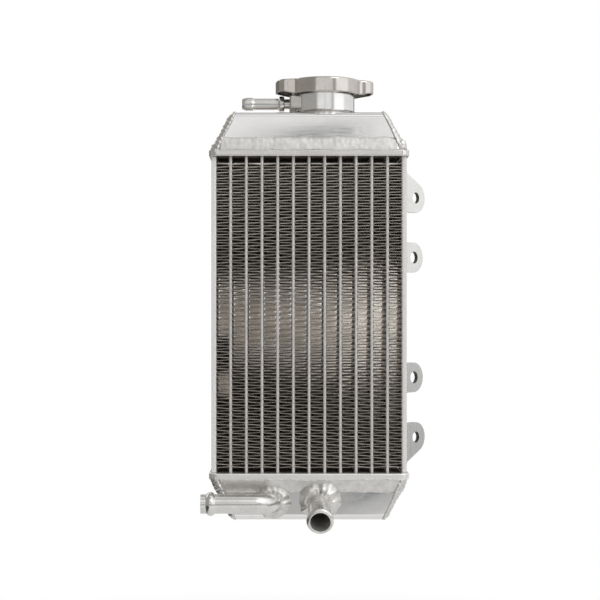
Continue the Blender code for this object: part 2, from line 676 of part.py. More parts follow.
def make_cover(parent):
    outline = cap_outline()
    inside = inset(outline, CAP_GAUGE)
    crown = [point.normalized() * (cap_radius - 2 * CAP_ROUND) for point in outline]
    past = [(point.length - cap_radius) / EAR_LENGTH for point in outline]
    falls = [EAR_DROP * min(max(share, 0), 1) for share in past]

    def falling(loop, z):
        return [(point.x, point.y, z - fall) for point, fall in zip(loop, falls)]

    loops = [at_height(crown, cap_top - CAP_GAUGE), falling(inside, cap_top - CAP_GAUGE)]
    loops += [at_height(inside, cap_bottom), at_height(outline, cap_bottom)]
    for i in range(CORNER_STEPS + 1):
        angle = math.pi / 2 * i / CORNER_STEPS
        z = cap_top - CAP_ROUND * (1 - math.sin(angle))
        loops.append(falling(inset(outline, CAP_ROUND * (1 - math.cos(angle))), z))
    loops.append(at_height(crown, cap_top))
    mesh = finished(make_mesh("cap_cover", loft(loops)), "cap_chrome")
    cover = add_piece("cap_cover", mesh, parent)
    low, high = cap_bottom, cap_bottom + CAP_GAUGE
    for bearing in (-math.pi / 2, math.pi / 2):
        lug = ring_sector(lug_radius, skirt_bore + CAP_GAUGE / 2, LUG_ANGLE, low, high, bearing)
        combine(cover, lug, "UNION")
    low, high = cap_top - 2 * CAP_GAUGE, cap_top + CAP_GAUGE
    combine(cover, cylinder(RIVET_RADIUS + GAP, low, high, PIPE_STEPS), "DIFFERENCE")


def add_turned(name, profile, finish, parent, steps=ROUND_STEPS):
    add_piece(name, finished(make_mesh(name, turned(profile, steps)), finish), parent)


def make_cap_stack(parent):
    head_bottom = cap_top + GAP
    head_top = head_bottom + RIVET_HEAD_HEIGHT
    foot_top = bell_top - BELL_GAUGE - GAP
    foot = RIVET_HEAD - RIVET_HEAD_HEIGHT
    rivet = [(0, head_top), (RIVET_HEAD / 2, head_top), (RIVET_HEAD, head_bottom)]
    rivet += [(RIVET_RADIUS, head_bottom), (RIVET_RADIUS, foot_top), (foot, foot_top)]
    rivet += [(foot, foot_top - RIVET_HEAD_HEIGHT), (0, foot_top - RIVET_HEAD_HEIGHT)]
    add_turned("cap_rivet", rivet, "cap_steel", parent, PIPE_STEPS)

    hole = RIVET_RADIUS + GAP
    top = diaphragm_bottom + DIAPHRAGM_GAUGE
    disc = [(lug_radius, top), (lug_radius, diaphragm_bottom)]
    disc += [(hole, diaphragm_bottom), (hole, top)]
    add_turned("cap_diaphragm", disc, "cap_steel", parent)

    lip_top = plate_bottom - GAP
    wall = bell_radius - BELL_GAUGE
    bell = [(wall, bell_top), (bell_radius, bell_top - BELL_GAUGE)]
    bell += [(bell_radius, lip_top - BELL_GAUGE), (lip_radius, lip_top - BELL_GAUGE)]
    bell += [(lip_radius, lip_top), (wall, lip_top), (wall, bell_top - BELL_GAUGE)]
    bell += [(hole, bell_top - BELL_GAUGE), (hole, bell_top)]
    add_turned("cap_bell", bell, "cap_steel", parent)


def make_valves(parent):
    hole = VACUUM_STEM + GAP
    rim = bell_radius - BELL_GAUGE - GAP
    plate = [(rim, plate_top), (rim, plate_bottom), (hole, plate_bottom), (hole, plate_top)]
    add_turned("pressure_plate", plate, "cap_steel", parent)

    gasket_top = gasket_bottom + GASKET_THICKNESS
    edge = lip_radius - GAP
    gasket = [(edge, gasket_top), (edge, gasket_bottom)]
    gasket += [(GASKET_HOLE, gasket_bottom), (GASKET_HOLE, gasket_top)]
    add_turned("pressure_gasket", gasket, "black_rubber", parent)

    disc = GASKET_HOLE - SLIDE_GAP
    disc_top = plate_bottom - GAP
    head_bottom = plate_top + VACUUM_SPRING_HEIGHT + 2 * GAP
    head_top = head_bottom + VACUUM_HEAD_GAUGE
    valve = [(0, head_top), (VACUUM_HEAD, head_top), (VACUUM_HEAD, head_bottom)]
    valve += [(VACUUM_STEM, head_bottom), (VACUUM_STEM, disc_top), (disc, disc_top)]
    valve += [(disc, disc_top - VACUUM_DISC_GAUGE), (0, disc_top - VACUUM_DISC_GAUGE)]
    add_turned("vacuum_valve", valve, "cap_steel", parent, PIPE_STEPS)


def make_spring(name, parent, radius, wire, turns, low, high):
    # One unbroken coil that stands between two faces.
    bottom, top = low + wire / 2, high - wire / 2
    count = COIL_POINTS * turns
    points = []
    for i in range(count + 1):
        angle = 2 * math.pi * i / COIL_POINTS
        height = bottom + (top - bottom) * i / count
        points.append(Vector((radius * math.cos(angle), radius * math.sin(angle), height)))
    apart = [a - b for i, a in enumerate(points) for b in points[i + COIL_POINTS // 2:]]
    least = min(step.length for step in apart) - wire
    print(f"{name}: least gap between turns {least / MM:.2f} mm")
    curve = bpy.data.curves.new(name, "CURVE")
    curve.dimensions = "3D"
    curve.bevel_depth = wire / 2
    curve.bevel_resolution = 1
    curve.use_fill_caps = True
    spline = curve.splines.new("POLY")
    spline.points.add(count)
    for target, point in zip(spline.points, points):
        target.co = (*point, 1)
    add_piece(name, finished(curve, "spring_steel"), parent)


def make_springs(parent):
    bell_underside = bell_top - BELL_GAUGE
    make_spring("pressure_spring", parent, SPRING_RADIUS, SPRING_WIRE, SPRING_TURNS,
                plate_top + GAP, bell_underside - GAP)
    make_spring("vacuum_spring", parent, VACUUM_SPRING_RADIUS, VACUUM_SPRING_WIRE, VACUUM_SPRING_TURNS,
                plate_top + GAP, plate_top + GAP + VACUUM_SPRING_HEIGHT)


def main():
    for old in list(bpy.data.objects):
        bpy.data.objects.remove(old)
    make_finishes()
    radiator = add_empty("radiator")
    core = add_empty("core", radiator, (0, 0, bottom_header_z + CORE_HEIGHT / 2))
    make_tubes(core)
    make_fins(core)
    make_side_plates(core)
    make_tabs(core)

    top = add_empty("top_tank", radiator, (0, 0, top_header_z))
    make_header("header_top", top)
    top_shell = make_tank("top_tank", TOP_TANK_HEIGHT, top)

    bottom = add_empty("bottom_tank", radiator, (0, 0, bottom_header_z))
    bottom.rotation_euler = (math.pi, 0, 0)
    make_header("header_bottom", bottom)
    bottom_shell = make_tank("bottom_tank", BOTTOM_TANK_HEIGHT, bottom)
    make_baffle(bottom)
    make_elbow(radiator, bottom_shell)
    make_outlet(radiator, bottom_shell)

    filler = add_empty("filler", radiator, (NECK_X, 0, tank_top_z))
    make_neck(filler, top_shell)
    make_nipple(filler)

    cap = add_empty("cap_axis", radiator, (NECK_X, 0, tank_top_z))
    make_cover(cap)
    make_cap_stack(cap)
    make_valves(cap)
    make_springs(cap)


main()
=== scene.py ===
# Small welded aluminium radiator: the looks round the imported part.
import json
import math
import random

import bmesh
import bpy
import numpy as np
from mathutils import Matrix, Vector, noise

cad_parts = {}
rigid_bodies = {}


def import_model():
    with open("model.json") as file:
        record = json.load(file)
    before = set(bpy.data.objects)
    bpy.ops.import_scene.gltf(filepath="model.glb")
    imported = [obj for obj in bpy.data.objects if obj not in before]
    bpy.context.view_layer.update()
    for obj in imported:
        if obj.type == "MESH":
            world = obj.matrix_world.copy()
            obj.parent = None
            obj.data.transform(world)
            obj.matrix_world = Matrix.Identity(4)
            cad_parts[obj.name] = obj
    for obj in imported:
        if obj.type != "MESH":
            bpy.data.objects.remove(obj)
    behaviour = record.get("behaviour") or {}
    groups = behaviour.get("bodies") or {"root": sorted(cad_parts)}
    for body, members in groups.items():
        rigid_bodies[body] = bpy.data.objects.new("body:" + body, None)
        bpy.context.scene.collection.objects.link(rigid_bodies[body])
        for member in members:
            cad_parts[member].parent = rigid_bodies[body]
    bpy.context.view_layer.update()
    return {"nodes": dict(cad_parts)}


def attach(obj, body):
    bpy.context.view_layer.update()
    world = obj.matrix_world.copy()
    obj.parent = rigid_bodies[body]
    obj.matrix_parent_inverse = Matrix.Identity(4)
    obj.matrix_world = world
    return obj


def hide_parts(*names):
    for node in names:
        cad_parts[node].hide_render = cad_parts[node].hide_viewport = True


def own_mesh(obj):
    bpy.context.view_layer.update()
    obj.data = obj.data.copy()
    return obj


for old in list(bpy.data.objects):
    bpy.data.objects.remove(old)
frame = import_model()
nodes = frame["nodes"]
mm = 0.001
sameSpot = 1e-7  # in metres
capCentre = 10.4  # neck and cap stand this far to the right of the middle
print("frame loaded:", len(nodes), "nodes")

scene = bpy.context.scene
scene.view_settings.view_transform = "Standard"

# mesh helpers, with lengths in mm
def stripFaces(rows, cols, wrapRows=False, wrapCols=True):
    faces = []
    for i in range(rows if wrapRows else rows - 1):
        a = i * cols
        b = (i + 1) % rows * cols
        for j in range(cols if wrapCols else cols - 1):
            k = (j + 1) % cols
            faces.append((a + j, a + k, b + k, b + j))
    return faces

def endFaces(rows, cols):
    return [tuple(range(cols)), tuple((rows - 1) * cols + j for j in range(cols))]

def roundTurns(count):
    return [2 * math.pi * j / count for j in range(count)]

def unit(rows):
    return rows / np.linalg.norm(rows, axis=1)[:, None]

def makePiece(name, points, faces, finish, body, stands=(), sharp=40):
    mesh = bpy.data.meshes.new(name)
    mesh.from_pydata([tuple(p) for p in np.asarray(points, float) * mm], [], faces)
    bm = bmesh.new()
    bm.from_mesh(mesh)
    bmesh.ops.remove_doubles(bm, verts=bm.verts, dist=sameSpot)
    bmesh.ops.recalc_face_normals(bm, faces=bm.faces)
    bm.to_mesh(mesh)
    bm.free()
    mesh.shade_smooth()
    mesh.set_sharp_from_angle(angle=math.radians(sharp))
    mesh.materials.append(finish)
    piece = bpy.data.objects.new(name, mesh)
    scene.collection.objects.link(piece)
    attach(piece, body)
    if stands:
        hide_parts(*stands)
    return piece

def resample(points, outward, step, wrap=False):
    points = np.asarray(points, float)
    outward = np.asarray(outward, float)
    if wrap:
        points = np.vstack([points, points[:1]])
        outward = np.vstack([outward, outward[:1]])
    lengths = np.concatenate([[0], np.cumsum(np.linalg.norm(np.diff(points, axis=0), axis=1))])
    count = max(4, int(round(lengths[-1] / step)))
    at = np.linspace(0, lengths[-1], count, endpoint=not wrap)
    path, out = (np.stack([np.interp(at, lengths, rows[:, k]) for k in range(3)], 1) for rows in (points, outward))
    return path, unit(out), at

noiseSpec = dict(lane=7.13, depth=0.37)

def wander(values, scale, seed):
    lane = seed * noiseSpec["lane"]
    return np.array([noise.noise(Vector((v * scale, lane, noiseSpec["depth"]))) for v in values])

def assign(target, **values):
    for key, value in values.items():
        setattr(target, key, value)
    return target

# shader helpers: feeds gives each input a value or a socket to link
def feed(tree, node, feeds):
    for key, value in feeds.items():
        if isinstance(value, bpy.types.NodeSocket):
            tree.links.new(value, node.inputs[key])
        else:
            node.inputs[key].default_value = value

def addNode(tree, kind, feeds=None, **values):
    node = assign(tree.nodes.new(kind), **values)
    feed(tree, node, feeds or {})
    return node

def mathNode(tree, operation, *terms):
    return addNode(tree, "ShaderNodeMath", dict(enumerate(terms)), operation=operation).outputs[0]

def vectorNode(tree, operation, *terms):
    node = addNode(tree, "ShaderNodeVectorMath", dict(enumerate(terms)), operation=operation)
    return node.outputs["Value" if operation == "LENGTH" else "Vector"]

def noiseNode(tree, place, scale, **settings):
    return addNode(tree, "ShaderNodeTexNoise", {"Vector": place, "Scale": scale, **settings}).outputs

def splitNode(tree, vector):
    return addNode(tree, "ShaderNodeSeparateXYZ", {0: vector}).outputs

def placeOf(tree):
    return addNode(tree, "ShaderNodeTexCoord").outputs["Object"]

def ramp(tree, value, low, high, toLow=0.0, toHigh=1.0):
    feeds = {"Value": value, "From Min": low, "From Max": high, "To Min": toLow, "To Max": toHigh}
    return addNode(tree, "ShaderNodeMapRange", feeds, clamp=True).outputs["Result"]

def blendColour(tree, share, first, second):
    first, second = ((*colour, 1) if isinstance(colour, tuple) else colour for colour in (first, second))
    return addNode(tree, "ShaderNodeMix", {"Factor": share, 6: first, 7: second}, data_type="RGBA").outputs[2]

# shader groups: named inputs and one output
def newGroup(name, output, **inputs):
    group = bpy.data.node_groups.new(name, "ShaderNodeTree")
    for label, value in inputs.items():
        kind = "NodeSocketVector" if isinstance(value, tuple) else "NodeSocketFloat"
        group.interface.new_socket(label, in_out="INPUT", socket_type=kind).default_value = value
    group.interface.new_socket(output, in_out="OUTPUT", socket_type="NodeSocketFloat")
    return group, group.nodes.new("NodeGroupInput").outputs

def endGroup(group, result):
    addNode(group, "NodeGroupOutput", {0: result})
    return group

def placeGroup(tree, group, **values):
    return addNode(tree, "ShaderNodeGroup", values, node_tree=group).outputs[0]

def makeStreakGroup():
    group, given = newGroup("brushedStreaks", "Streaks", Stretch=(40, 900, 900), Detail=3.0, Low=0.3, High=0.7)
    scaled = vectorNode(group, "MULTIPLY", placeOf(group), given["Stretch"])
    grain = noiseNode(group, scaled, 1.0, Detail=given["Detail"])["Fac"]
    return endGroup(group, ramp(group, grain, given["Low"], given["High"]))

def makeCloudGroup():
    group, given = newGroup("oxideClouds", "Clouds", Scale=60.0, Low=0.38, High=0.68, Detail=5.0, Roughness=0.6)
    clouds = noiseNode(group, placeOf(group), given["Scale"], Detail=given["Detail"], Roughness=given["Roughness"])
    return endGroup(group, ramp(group, clouds["Fac"], given["Low"], given["High"]))

def makeScratchGroup():
    group, given = newGroup("hairScratches", "Scratches", Scale=160.0, Cut=0.045, BendScale=90.0,
                            Bend=(0.006, 0.006, 0.006), PatchScale=45.0, PatchLow=0.52, PatchHigh=0.68)
    place = placeOf(group)
    bend = noiseNode(group, place, given["BendScale"])["Color"]
    moved = vectorNode(group, "MULTIPLY_ADD", bend, given["Bend"], place)
    cells = addNode(group, "ShaderNodeTexVoronoi", {"Vector": moved, "Scale": given["Scale"]},
                    feature="DISTANCE_TO_EDGE")
    thin = mathNode(group, "LESS_THAN", cells.outputs["Distance"], given["Cut"])
    patches = noiseNode(group, place, given["PatchScale"])["Fac"]
    patches = ramp(group, patches, given["PatchLow"], given["PatchHigh"])
    return endGroup(group, mathNode(group, "MULTIPLY", thin, patches))

def makeRubGroup():
    group, given = newGroup("edgeRub", "Rub", Start=0.53, Full=0.62)
    shape = addNode(group, "ShaderNodeNewGeometry").outputs
    return endGroup(group, ramp(group, shape["Pointiness"], given["Start"], given["Full"]))

# painted shade: a speckled mask on the faces that look up or down into the gaps at the core, inside the core's
# outline
def makeCoreShadeGroup():
    group, given = newGroup("corePaintedShade", "CoreShade", Start=0.6, Full=0.9, Scale=400.0, Reach=(0.0588, 0.0214, 1.0),
                            SpeckLow=0.3, SpeckHigh=0.6, SpeckLeast=0.9)
    where = addNode(group, "ShaderNodeTexCoord").outputs
    facing = mathNode(group, "ABSOLUTE", splitNode(group, where["Normal"])["Z"])
    specks = noiseNode(group, where["Object"], given["Scale"])["Fac"]
    worn = mathNode(group, "MULTIPLY", ramp(group, facing, given["Start"], given["Full"]),
                    ramp(group, specks, given["SpeckLow"], given["SpeckHigh"], given["SpeckLeast"]))
    share = vectorNode(group, "ABSOLUTE", vectorNode(group, "DIVIDE", where["Object"], given["Reach"]))
    sides = splitNode(group, share)
    within = mathNode(group, "LESS_THAN", mathNode(group, "MAXIMUM", sides["X"], sides["Y"]), 1.0)
    return endGroup(group, mathNode(group, "MULTIPLY", worn, within))

# painted shade: a mask on the wall of a bolt hole, found by distance from the hole's axis
def makeHoleShadeGroup():
    group, given = newGroup("drilledWall", "HoleShade", Centre=(0, 0, 0), Axis=(0, 1, 0), Radius=0.004)
    offset = vectorNode(group, "SUBTRACT", placeOf(group), given["Centre"])
    reach = vectorNode(group, "LENGTH", vectorNode(group, "CROSS_PRODUCT", offset, given["Axis"]))
    return endGroup(group, mathNode(group, "LESS_THAN", reach, given["Radius"]))

# painted shade: a mask that is full at the foot of the core and on its left, fading upwards and to the right
def makeFootShadeGroup():
    group, given = newGroup("footPaintedShade", "FootShade", Low=0.09, High=0.11, Left=0.01, Right=0.04)
    place = splitNode(group, placeOf(group))
    foot = ramp(group, place["Z"], given["Low"], given["High"], 1.0, 0.0)
    left = ramp(group, place["X"], given["Left"], given["Right"], 1.0, 0.0)
    return endGroup(group, mathNode(group, "MULTIPLY", foot, left))

streakGroup = makeStreakGroup()
cloudGroup = makeCloudGroup()
scratchGroup = makeScratchGroup()
rubGroup = makeRubGroup()
sootGroup = makeCoreShadeGroup()
holeShadeGroup = makeHoleShadeGroup()
footShadeGroup = makeFootShadeGroup()
finishSpec = dict(metallic=1.0, scratchDull=0.05, wallDull=0.5, bumpReach=0.0002)

def newTree(owner, clear=False):
    owner.use_nodes = True
    if clear:
        owner.node_tree.nodes.clear()
    return owner.node_tree

def metalFinish(name, look, **changes):
    look = {**finishSpec, **look, **changes}
    material = bpy.data.materials.new(name)
    tree = newTree(material)

    def times(value, factor):
        return mathNode(tree, "MULTIPLY", value, factor)

    clouds = placeGroup(tree, cloudGroup, Scale=look["cloudScale"])
    streaks = placeGroup(tree, streakGroup, Stretch=look["stretch"])
    scratches = placeGroup(tree, scratchGroup, Scale=look["scratchScale"])
    metallic = look["metallic"]
    colour = blendColour(tree, clouds, look["tint"], look["stain"])
    colour = blendColour(tree, times(placeGroup(tree, rubGroup), look["rub"]), colour, look["bright"])
    rough = ramp(tree, streaks, 0, 1, *look["rough"])
    rough = mathNode(tree, "ADD", rough, times(clouds, look["dull"]))
    rough = mathNode(tree, "ADD", rough, times(scratches, look["scratchDull"]))
    # painted shade: under that mask the fins take a darker colour
    if "footShade" in look:  # darker towards the foot of the core
        colour = blendColour(tree, placeGroup(tree, footShadeGroup), colour, look["footShade"])
    if "drill" in look:  # painted shade on the wall of a bolt hole, which is also made duller
        wall = placeGroup(tree, holeShadeGroup, **look["drill"])
        colour = blendColour(tree, wall, colour, look["wall"])
        rough = mathNode(tree, "MAXIMUM", rough, times(wall, look["wallDull"]))
    if "soot" in look:  # painted shade on the faces that look into the core, which are also made rough and not metallic
        soot = placeGroup(tree, sootGroup)
        colour = blendColour(tree, soot, colour, look["soot"])
        rough = mathNode(tree, "MAXIMUM", rough, soot)
        metallic = ramp(tree, soot, 0, 1, 1, 0)
    height = mathNode(tree, "SUBTRACT", times(streaks, look["grain"]), times(scratches, look["scratch"]))
    height = mathNode(tree, "ADD", height, times(clouds, look["dents"]))
    bump = addNode(tree, "ShaderNodeBump",
                   {"Distance": look["bumpReach"], "Strength": look["bump"], "Height": height})
    feed(tree, tree.nodes["Principled BSDF"], {"Base Color": colour, "Metallic": metallic, "Roughness": rough,
                                               "Normal": bump.outputs["Normal"]})
    return material

tankLook = dict(
    tint=(0.875, 0.86, 0.84), stain=(0.83, 0.812, 0.79), bright=(0.93, 0.93, 0.93), rub=0.5,
    cloudScale=55.0, stretch=(60, 700, 700), scratchScale=190.0, rough=(0.075, 0.11),
    dull=0.03, grain=0.12, scratch=0.1, dents=0.3, bump=0.05,
)
weldLook = dict(
    tint=(0.78, 0.765, 0.745), stain=(0.66, 0.645, 0.62), bright=(0.95, 0.95, 0.95), rub=0.7,
    cloudScale=260.0, stretch=(900, 900, 900), scratchScale=320.0, rough=(0.31, 0.39),
    dull=0.1, grain=0.15, scratch=0.1, dents=0.3, bump=0.12,
)
tubeLook = dict(
    tint=(0.82, 0.795, 0.765), stain=(0.56, 0.53, 0.49), bright=(0.92, 0.92, 0.92), rub=0.4,
    cloudScale=95.0, stretch=(900, 900, 40), scratchScale=240.0, rough=(0.36, 0.46),
    dull=0.08, grain=0.2, scratch=0.2, dents=0.3, bump=0.12, metallic=0.35,
)
# fin colour kept dark: painted shade for the light lost between the tubes, on a brownish brazed tone
finLook = dict(
    tint=(0.63, 0.59, 0.545), stain=(0.53, 0.49, 0.445), bright=(0.8, 0.79, 0.77), rub=0.2,
    cloudScale=90.0, stretch=(500, 120, 500), scratchScale=300.0, rough=(0.22, 0.3),
    dull=0.08, grain=0.2, scratch=0.1, dents=0.2, bump=0.1, metallic=0.92,
    # colour of the painted shade at the lower left of the core
    footShade=(0.55, 0.51, 0.465),
)
tabLook = dict(
    # tab tint kept near white: painted light on the upper tabs
    tint=(0.98, 0.975, 0.955), stain=(0.93, 0.925, 0.9), bright=(0.93, 0.93, 0.93), rub=0.6,
    cloudScale=110.0, stretch=(900, 900, 60), scratchScale=210.0, rough=(0.2, 0.28),
    # wall is the colour of the painted shade on the bolt hole walls
    dull=0.06, grain=0.12, scratch=0.1, dents=0.3, bump=0.06, wall=(0.11, 0.105, 0.1),
)
pipeLook = dict(
    tint=(0.81, 0.805, 0.79), stain=(0.73, 0.72, 0.7), bright=(0.94, 0.94, 0.94), rub=0.5,
    cloudScale=130.0, stretch=(70, 70, 700), scratchScale=260.0, rough=(0.18, 0.26),
    dull=0.06, grain=0.15, scratch=0.12, dents=0.5, bump=0.1,
)
neckLook = dict(
    tint=(0.87, 0.87, 0.865), stain=(0.81, 0.805, 0.79), bright=(0.94, 0.94, 0.94), rub=0.5,
    cloudScale=80.0, stretch=(40, 40, 900), scratchScale=240.0, rough=(0.1, 0.15),
    dull=0.05, grain=0.2, scratch=0.12, dents=0.3, bump=0.08,
)
chromeLook = dict(
    tint=(0.66, 0.625, 0.59), stain=(0.59, 0.555, 0.515), bright=(0.9, 0.89, 0.88), rub=0.4,
    cloudScale=120.0, stretch=(90, 90, 500), scratchScale=260.0, rough=(0.05, 0.09),
    dull=0.06, grain=0.1, scratch=0.15, dents=0.5, bump=0.08,
)
steelLook = dict(
    tint=(0.62, 0.60, 0.57), stain=(0.5, 0.475, 0.44), bright=(0.78, 0.77, 0.75), rub=0.6,
    cloudScale=160.0, stretch=(300, 300, 300), scratchScale=260.0, rough=(0.24, 0.36),
    dull=0.1, grain=0.3, scratch=0.12, dents=0.4, bump=0.15,
)
rubberLook = dict(
    tint=(0.022, 0.022, 0.023), stain=(0.045, 0.044, 0.042), bright=(0.07, 0.07, 0.07), rub=0.4,
    cloudScale=300.0, stretch=(800, 800, 800), scratchScale=400.0, rough=(0.55, 0.7),
    dull=0.1, grain=0.5, scratch=0.1, dents=0.3, bump=0.3, metallic=0.0,
)
# colour of the painted shade on the header faces that look into the core
sootTint = (0.24, 0.218, 0.19)
tankSatin = metalFinish("tankSatin", tankLook)
headerSatin = metalFinish("headerSatin", tankLook, rough=(0.16, 0.24), tint=(0.8, 0.785, 0.765),
                          stain=(0.74, 0.725, 0.7), soot=sootTint)
# painted light: the bottom header plate takes a paler, rougher copy of the header finish
headerPaintedLight = metalFinish("headerPaintedLight", tankLook, rough=(0.34, 0.44), tint=(0.96, 0.95, 0.93),
                         stain=(0.9, 0.89, 0.865), soot=sootTint)
weldBright = metalFinish("weldBright", weldLook)
tubeSatin = metalFinish("tubeSatin", tubeLook)
plateSatin = metalFinish("plateSatin", tubeLook, tint=(0.98, 0.97, 0.955), stain=(0.93, 0.915, 0.895))
finShadedDull = metalFinish("finShadedDull", finLook)
pipePolished = metalFinish("pipePolished", pipeLook)
# painted shade: the nipple takes a darker copy of the pipe finish
nippleShadedSatin = metalFinish("nippleShadedSatin", pipeLook, tint=(0.79, 0.775, 0.75), stain=(0.69, 0.675, 0.65),
                          rough=(0.22, 0.3))
# painted shade inside the pipe bores: a darker copy of the pipe finish, also rougher and less metallic
boreShadedDull = metalFinish("boreShadedDull", pipeLook, tint=(0.5, 0.485, 0.46), stain=(0.4, 0.385, 0.36),
                       rough=(0.42, 0.52), metallic=0.4)
neckTurned = metalFinish("neckTurned", neckLook)
bossCast = metalFinish("bossCast", neckLook, tint=(0.6, 0.575, 0.54), stain=(0.53, 0.5, 0.46),
                       rough=(0.2, 0.27), dents=0.8)
capChrome = metalFinish("capChrome", chromeLook)
capSteel = metalFinish("capSteel", steelLook)
# painted shade: a darker copy of the cap steel for the inside of the cover
capInsideShaded = metalFinish("capInsideShaded", steelLook, tint=(0.42, 0.4, 0.375), stain=(0.34, 0.32, 0.295))
blackRubber = metalFinish("blackRubber", rubberLook)

# tabs: one finish each, since each has its own hole with painted shade on its wall
# painted shade: the two lower tabs take a darker copy of the tab finish
lowerTabShade = dict(tint=(0.8, 0.805, 0.78), stain=(0.74, 0.745, 0.72))
tabSpec = {
    "axis": (0.7431, -0.6691, 0), "ease": 0.2,
    "holes": {
        "upper_outer": ((0.0702, 0.0048, 0.2068), 0.0036, {}),
        "upper_inner": ((0.0689, 0.0033, 0.1678), 0.0039, {}),
        "lower_inner": ((0.0689, 0.0033, 0.0897), 0.0039, lowerTabShade),
        "lower_outer": ((0.0702, 0.0048, 0.0507), 0.0036, lowerTabShade),
    },
}
tabPaintedShade = {}
for label, (centre, radius, tints) in tabSpec["holes"].items():
    drill = {"Centre": centre, "Axis": tabSpec["axis"], "Radius": radius}
    tabPaintedShade[f"tab_{label}"] = metalFinish(f"tabPaintedShade_{label}", tabLook, drill=drill, **tints)
print("finishes made")

# CAD nodes that stay: eased edges and smooth shading by modifiers only
dressSpec = dict(merge=1e-5, flat=math.radians(0.6), steep=math.radians(38), segments=2)

def makeShadeGroup():
    group = bpy.data.node_groups.new("shadeByAngle", "GeometryNodeTree")
    for way in ("INPUT", "OUTPUT"):
        group.interface.new_socket("Geometry", in_out=way, socket_type="NodeSocketGeometry")
    mesh = group.nodes.new("NodeGroupInput").outputs[0]
    angle = group.nodes.new("GeometryNodeInputMeshEdgeAngle").outputs["Unsigned Angle"]
    steep = addNode(group, "FunctionNodeCompare", data_type="FLOAT", operation="GREATER_THAN")
    feed(group, steep, {"A": angle, "B": dressSpec["steep"]})
    faces = addNode(group, "GeometryNodeSetShadeSmooth", {"Geometry": mesh}, domain="FACE")
    feeds = {"Geometry": faces.outputs["Geometry"], "Selection": steep.outputs["Result"], "Shade Smooth": False}
    edges = addNode(group, "GeometryNodeSetShadeSmooth", feeds, domain="EDGE")
    return endGroup(group, edges.outputs["Geometry"])

shadeGroup = makeShadeGroup()

def dressNode(name, finish, ease):
    node = nodes[name]
    node.data.materials.clear()
    node.data.materials.append(finish)
    assign(node.modifiers.new("weld", "WELD"), merge_threshold=dressSpec["merge"])
    if ease:
        assign(node.modifiers.new("flat", "DECIMATE"), decimate_type="DISSOLVE", angle_limit=dressSpec["flat"])
        assign(node.modifiers.new("ease", "BEVEL"), width=ease * mm, segments=dressSpec["segments"],
               limit_method="ANGLE", angle_limit=dressSpec["steep"], use_clamp_overlap=True)
    assign(node.modifiers.new("shade", "NODES"), node_group=shadeGroup)
    assign(node.modifiers.new("even", "WEIGHTED_NORMAL"), keep_sharp=True)

keptSpec = (  # finish, ease, starts of the nodes' names
    (tubeSatin, 0, ("tube_",)),
    (plateSatin, 0.3, ("side_plate",)),
    (tankSatin, 0, ("top_tank_shell", "bottom_tank_shell", "bottom_tank_baffle")),
    (tankSatin, 0.25, ("top_tank_end", "bottom_tank_end")),
    (capSteel, 0.15, ("cap_rivet", "cap_diaphragm", "cap_bell", "pressure_plate", "vacuum_valve")),
    (blackRubber, 0.2, ("pressure_gasket",)),
)
for finish, ease, starts in keptSpec:
    for name in nodes:
        if name.startswith(starts):
            dressNode(name, finish, ease)
for name, finish in tabPaintedShade.items():
    dressNode(name, finish, tabSpec["ease"])
print("kept nodes dressed")

# headers: plates with rounded corners and eased edges
def roundedBox(low, high, corner, ease, steps=8):
    cx, cy = (low[0] + high[0]) / 2, (low[1] + high[1]) / 2
    hx, hy = (high[0] - low[0]) / 2 - corner, (high[1] - low[1]) / 2 - corner
    heading = []
    for quarter, (sx, sy) in enumerate(((1, 1), (-1, 1), (-1, -1), (1, -1))):
        for k in range(steps + 1):
            turn = math.pi / 2 * (quarter + k / steps)
            heading.append((sx * hx, sy * hy, math.cos(turn), math.sin(turn)))
    edge = [(0, corner), (0, ease), (0.3 * ease, 0.3 * ease), (ease, 0), (1.3 * ease, 0)]
    levels = [(low[2] + rise, inset) for rise, inset in edge]
    levels += [(high[2] - rise, inset) for rise, inset in edge[::-1]]
    points = []
    for z, inset in levels:
        points += [(cx + x + c * (corner - inset), cy + y + d * (corner - inset), z) for x, y, c, d in heading]
    rows, cols = len(levels), len(heading)
    return points, stripFaces(rows, cols) + endFaces(rows, cols)

headerSpec = {
    "half": (63.8, 24.9), "corner": 6.0, "ease": 0.7, "sharp": 35,
    "plates": {"top": (231.2, 235.4, headerSatin), "bottom": (25.5, 29.7, headerPaintedLight)},
}
for label, (low, high, finish) in headerSpec["plates"].items():
    x, y = headerSpec["half"]
    points, faces = roundedBox((-x, -y, low), (x, y, high), headerSpec["corner"], headerSpec["ease"])
    makePiece(f"headerPlate_{label}", points, faces, finish, "radiator", (f"header_{label}",),
              sharp=headerSpec["sharp"])
print("headers set")

# core: folded fins with the back edge turned up, bowed up below a level and down above it
finSpec = dict(
    columns=12, first=-55.0, pitch=10.0, reach=3.94, low=33.2, high=226.6, depth=21.0,
    legs=108, rows=(10, 4), corner=0.5, gauge=0.12, sharp=55, seed=400,
    drift=0.5, driftScale=0.13, settle=6, jitter=0.06, bent=0.06,
    crest=(0.66, 0.8), crestSwing=0.5, crestScale=0.09, crestSeed=40,
    level=(127.0, 121.0), levelSwing=3,  # first and last column
    flat=7.0, bow=(1.45, 1.8), fade=(46.0, 56.0), spread=(1.8, 0.5),  # below and above the level
    flick=1.9, turned=(2.0, 5.4, 5.2), turnedPower=4,  # first column, growth, most
    knocks=((0, 107.0, 12.0, 1.6, 0.0), (0, 84.5, 10.0, -1.5, -0.8)),  # column, centre, half, hollow, lean
)

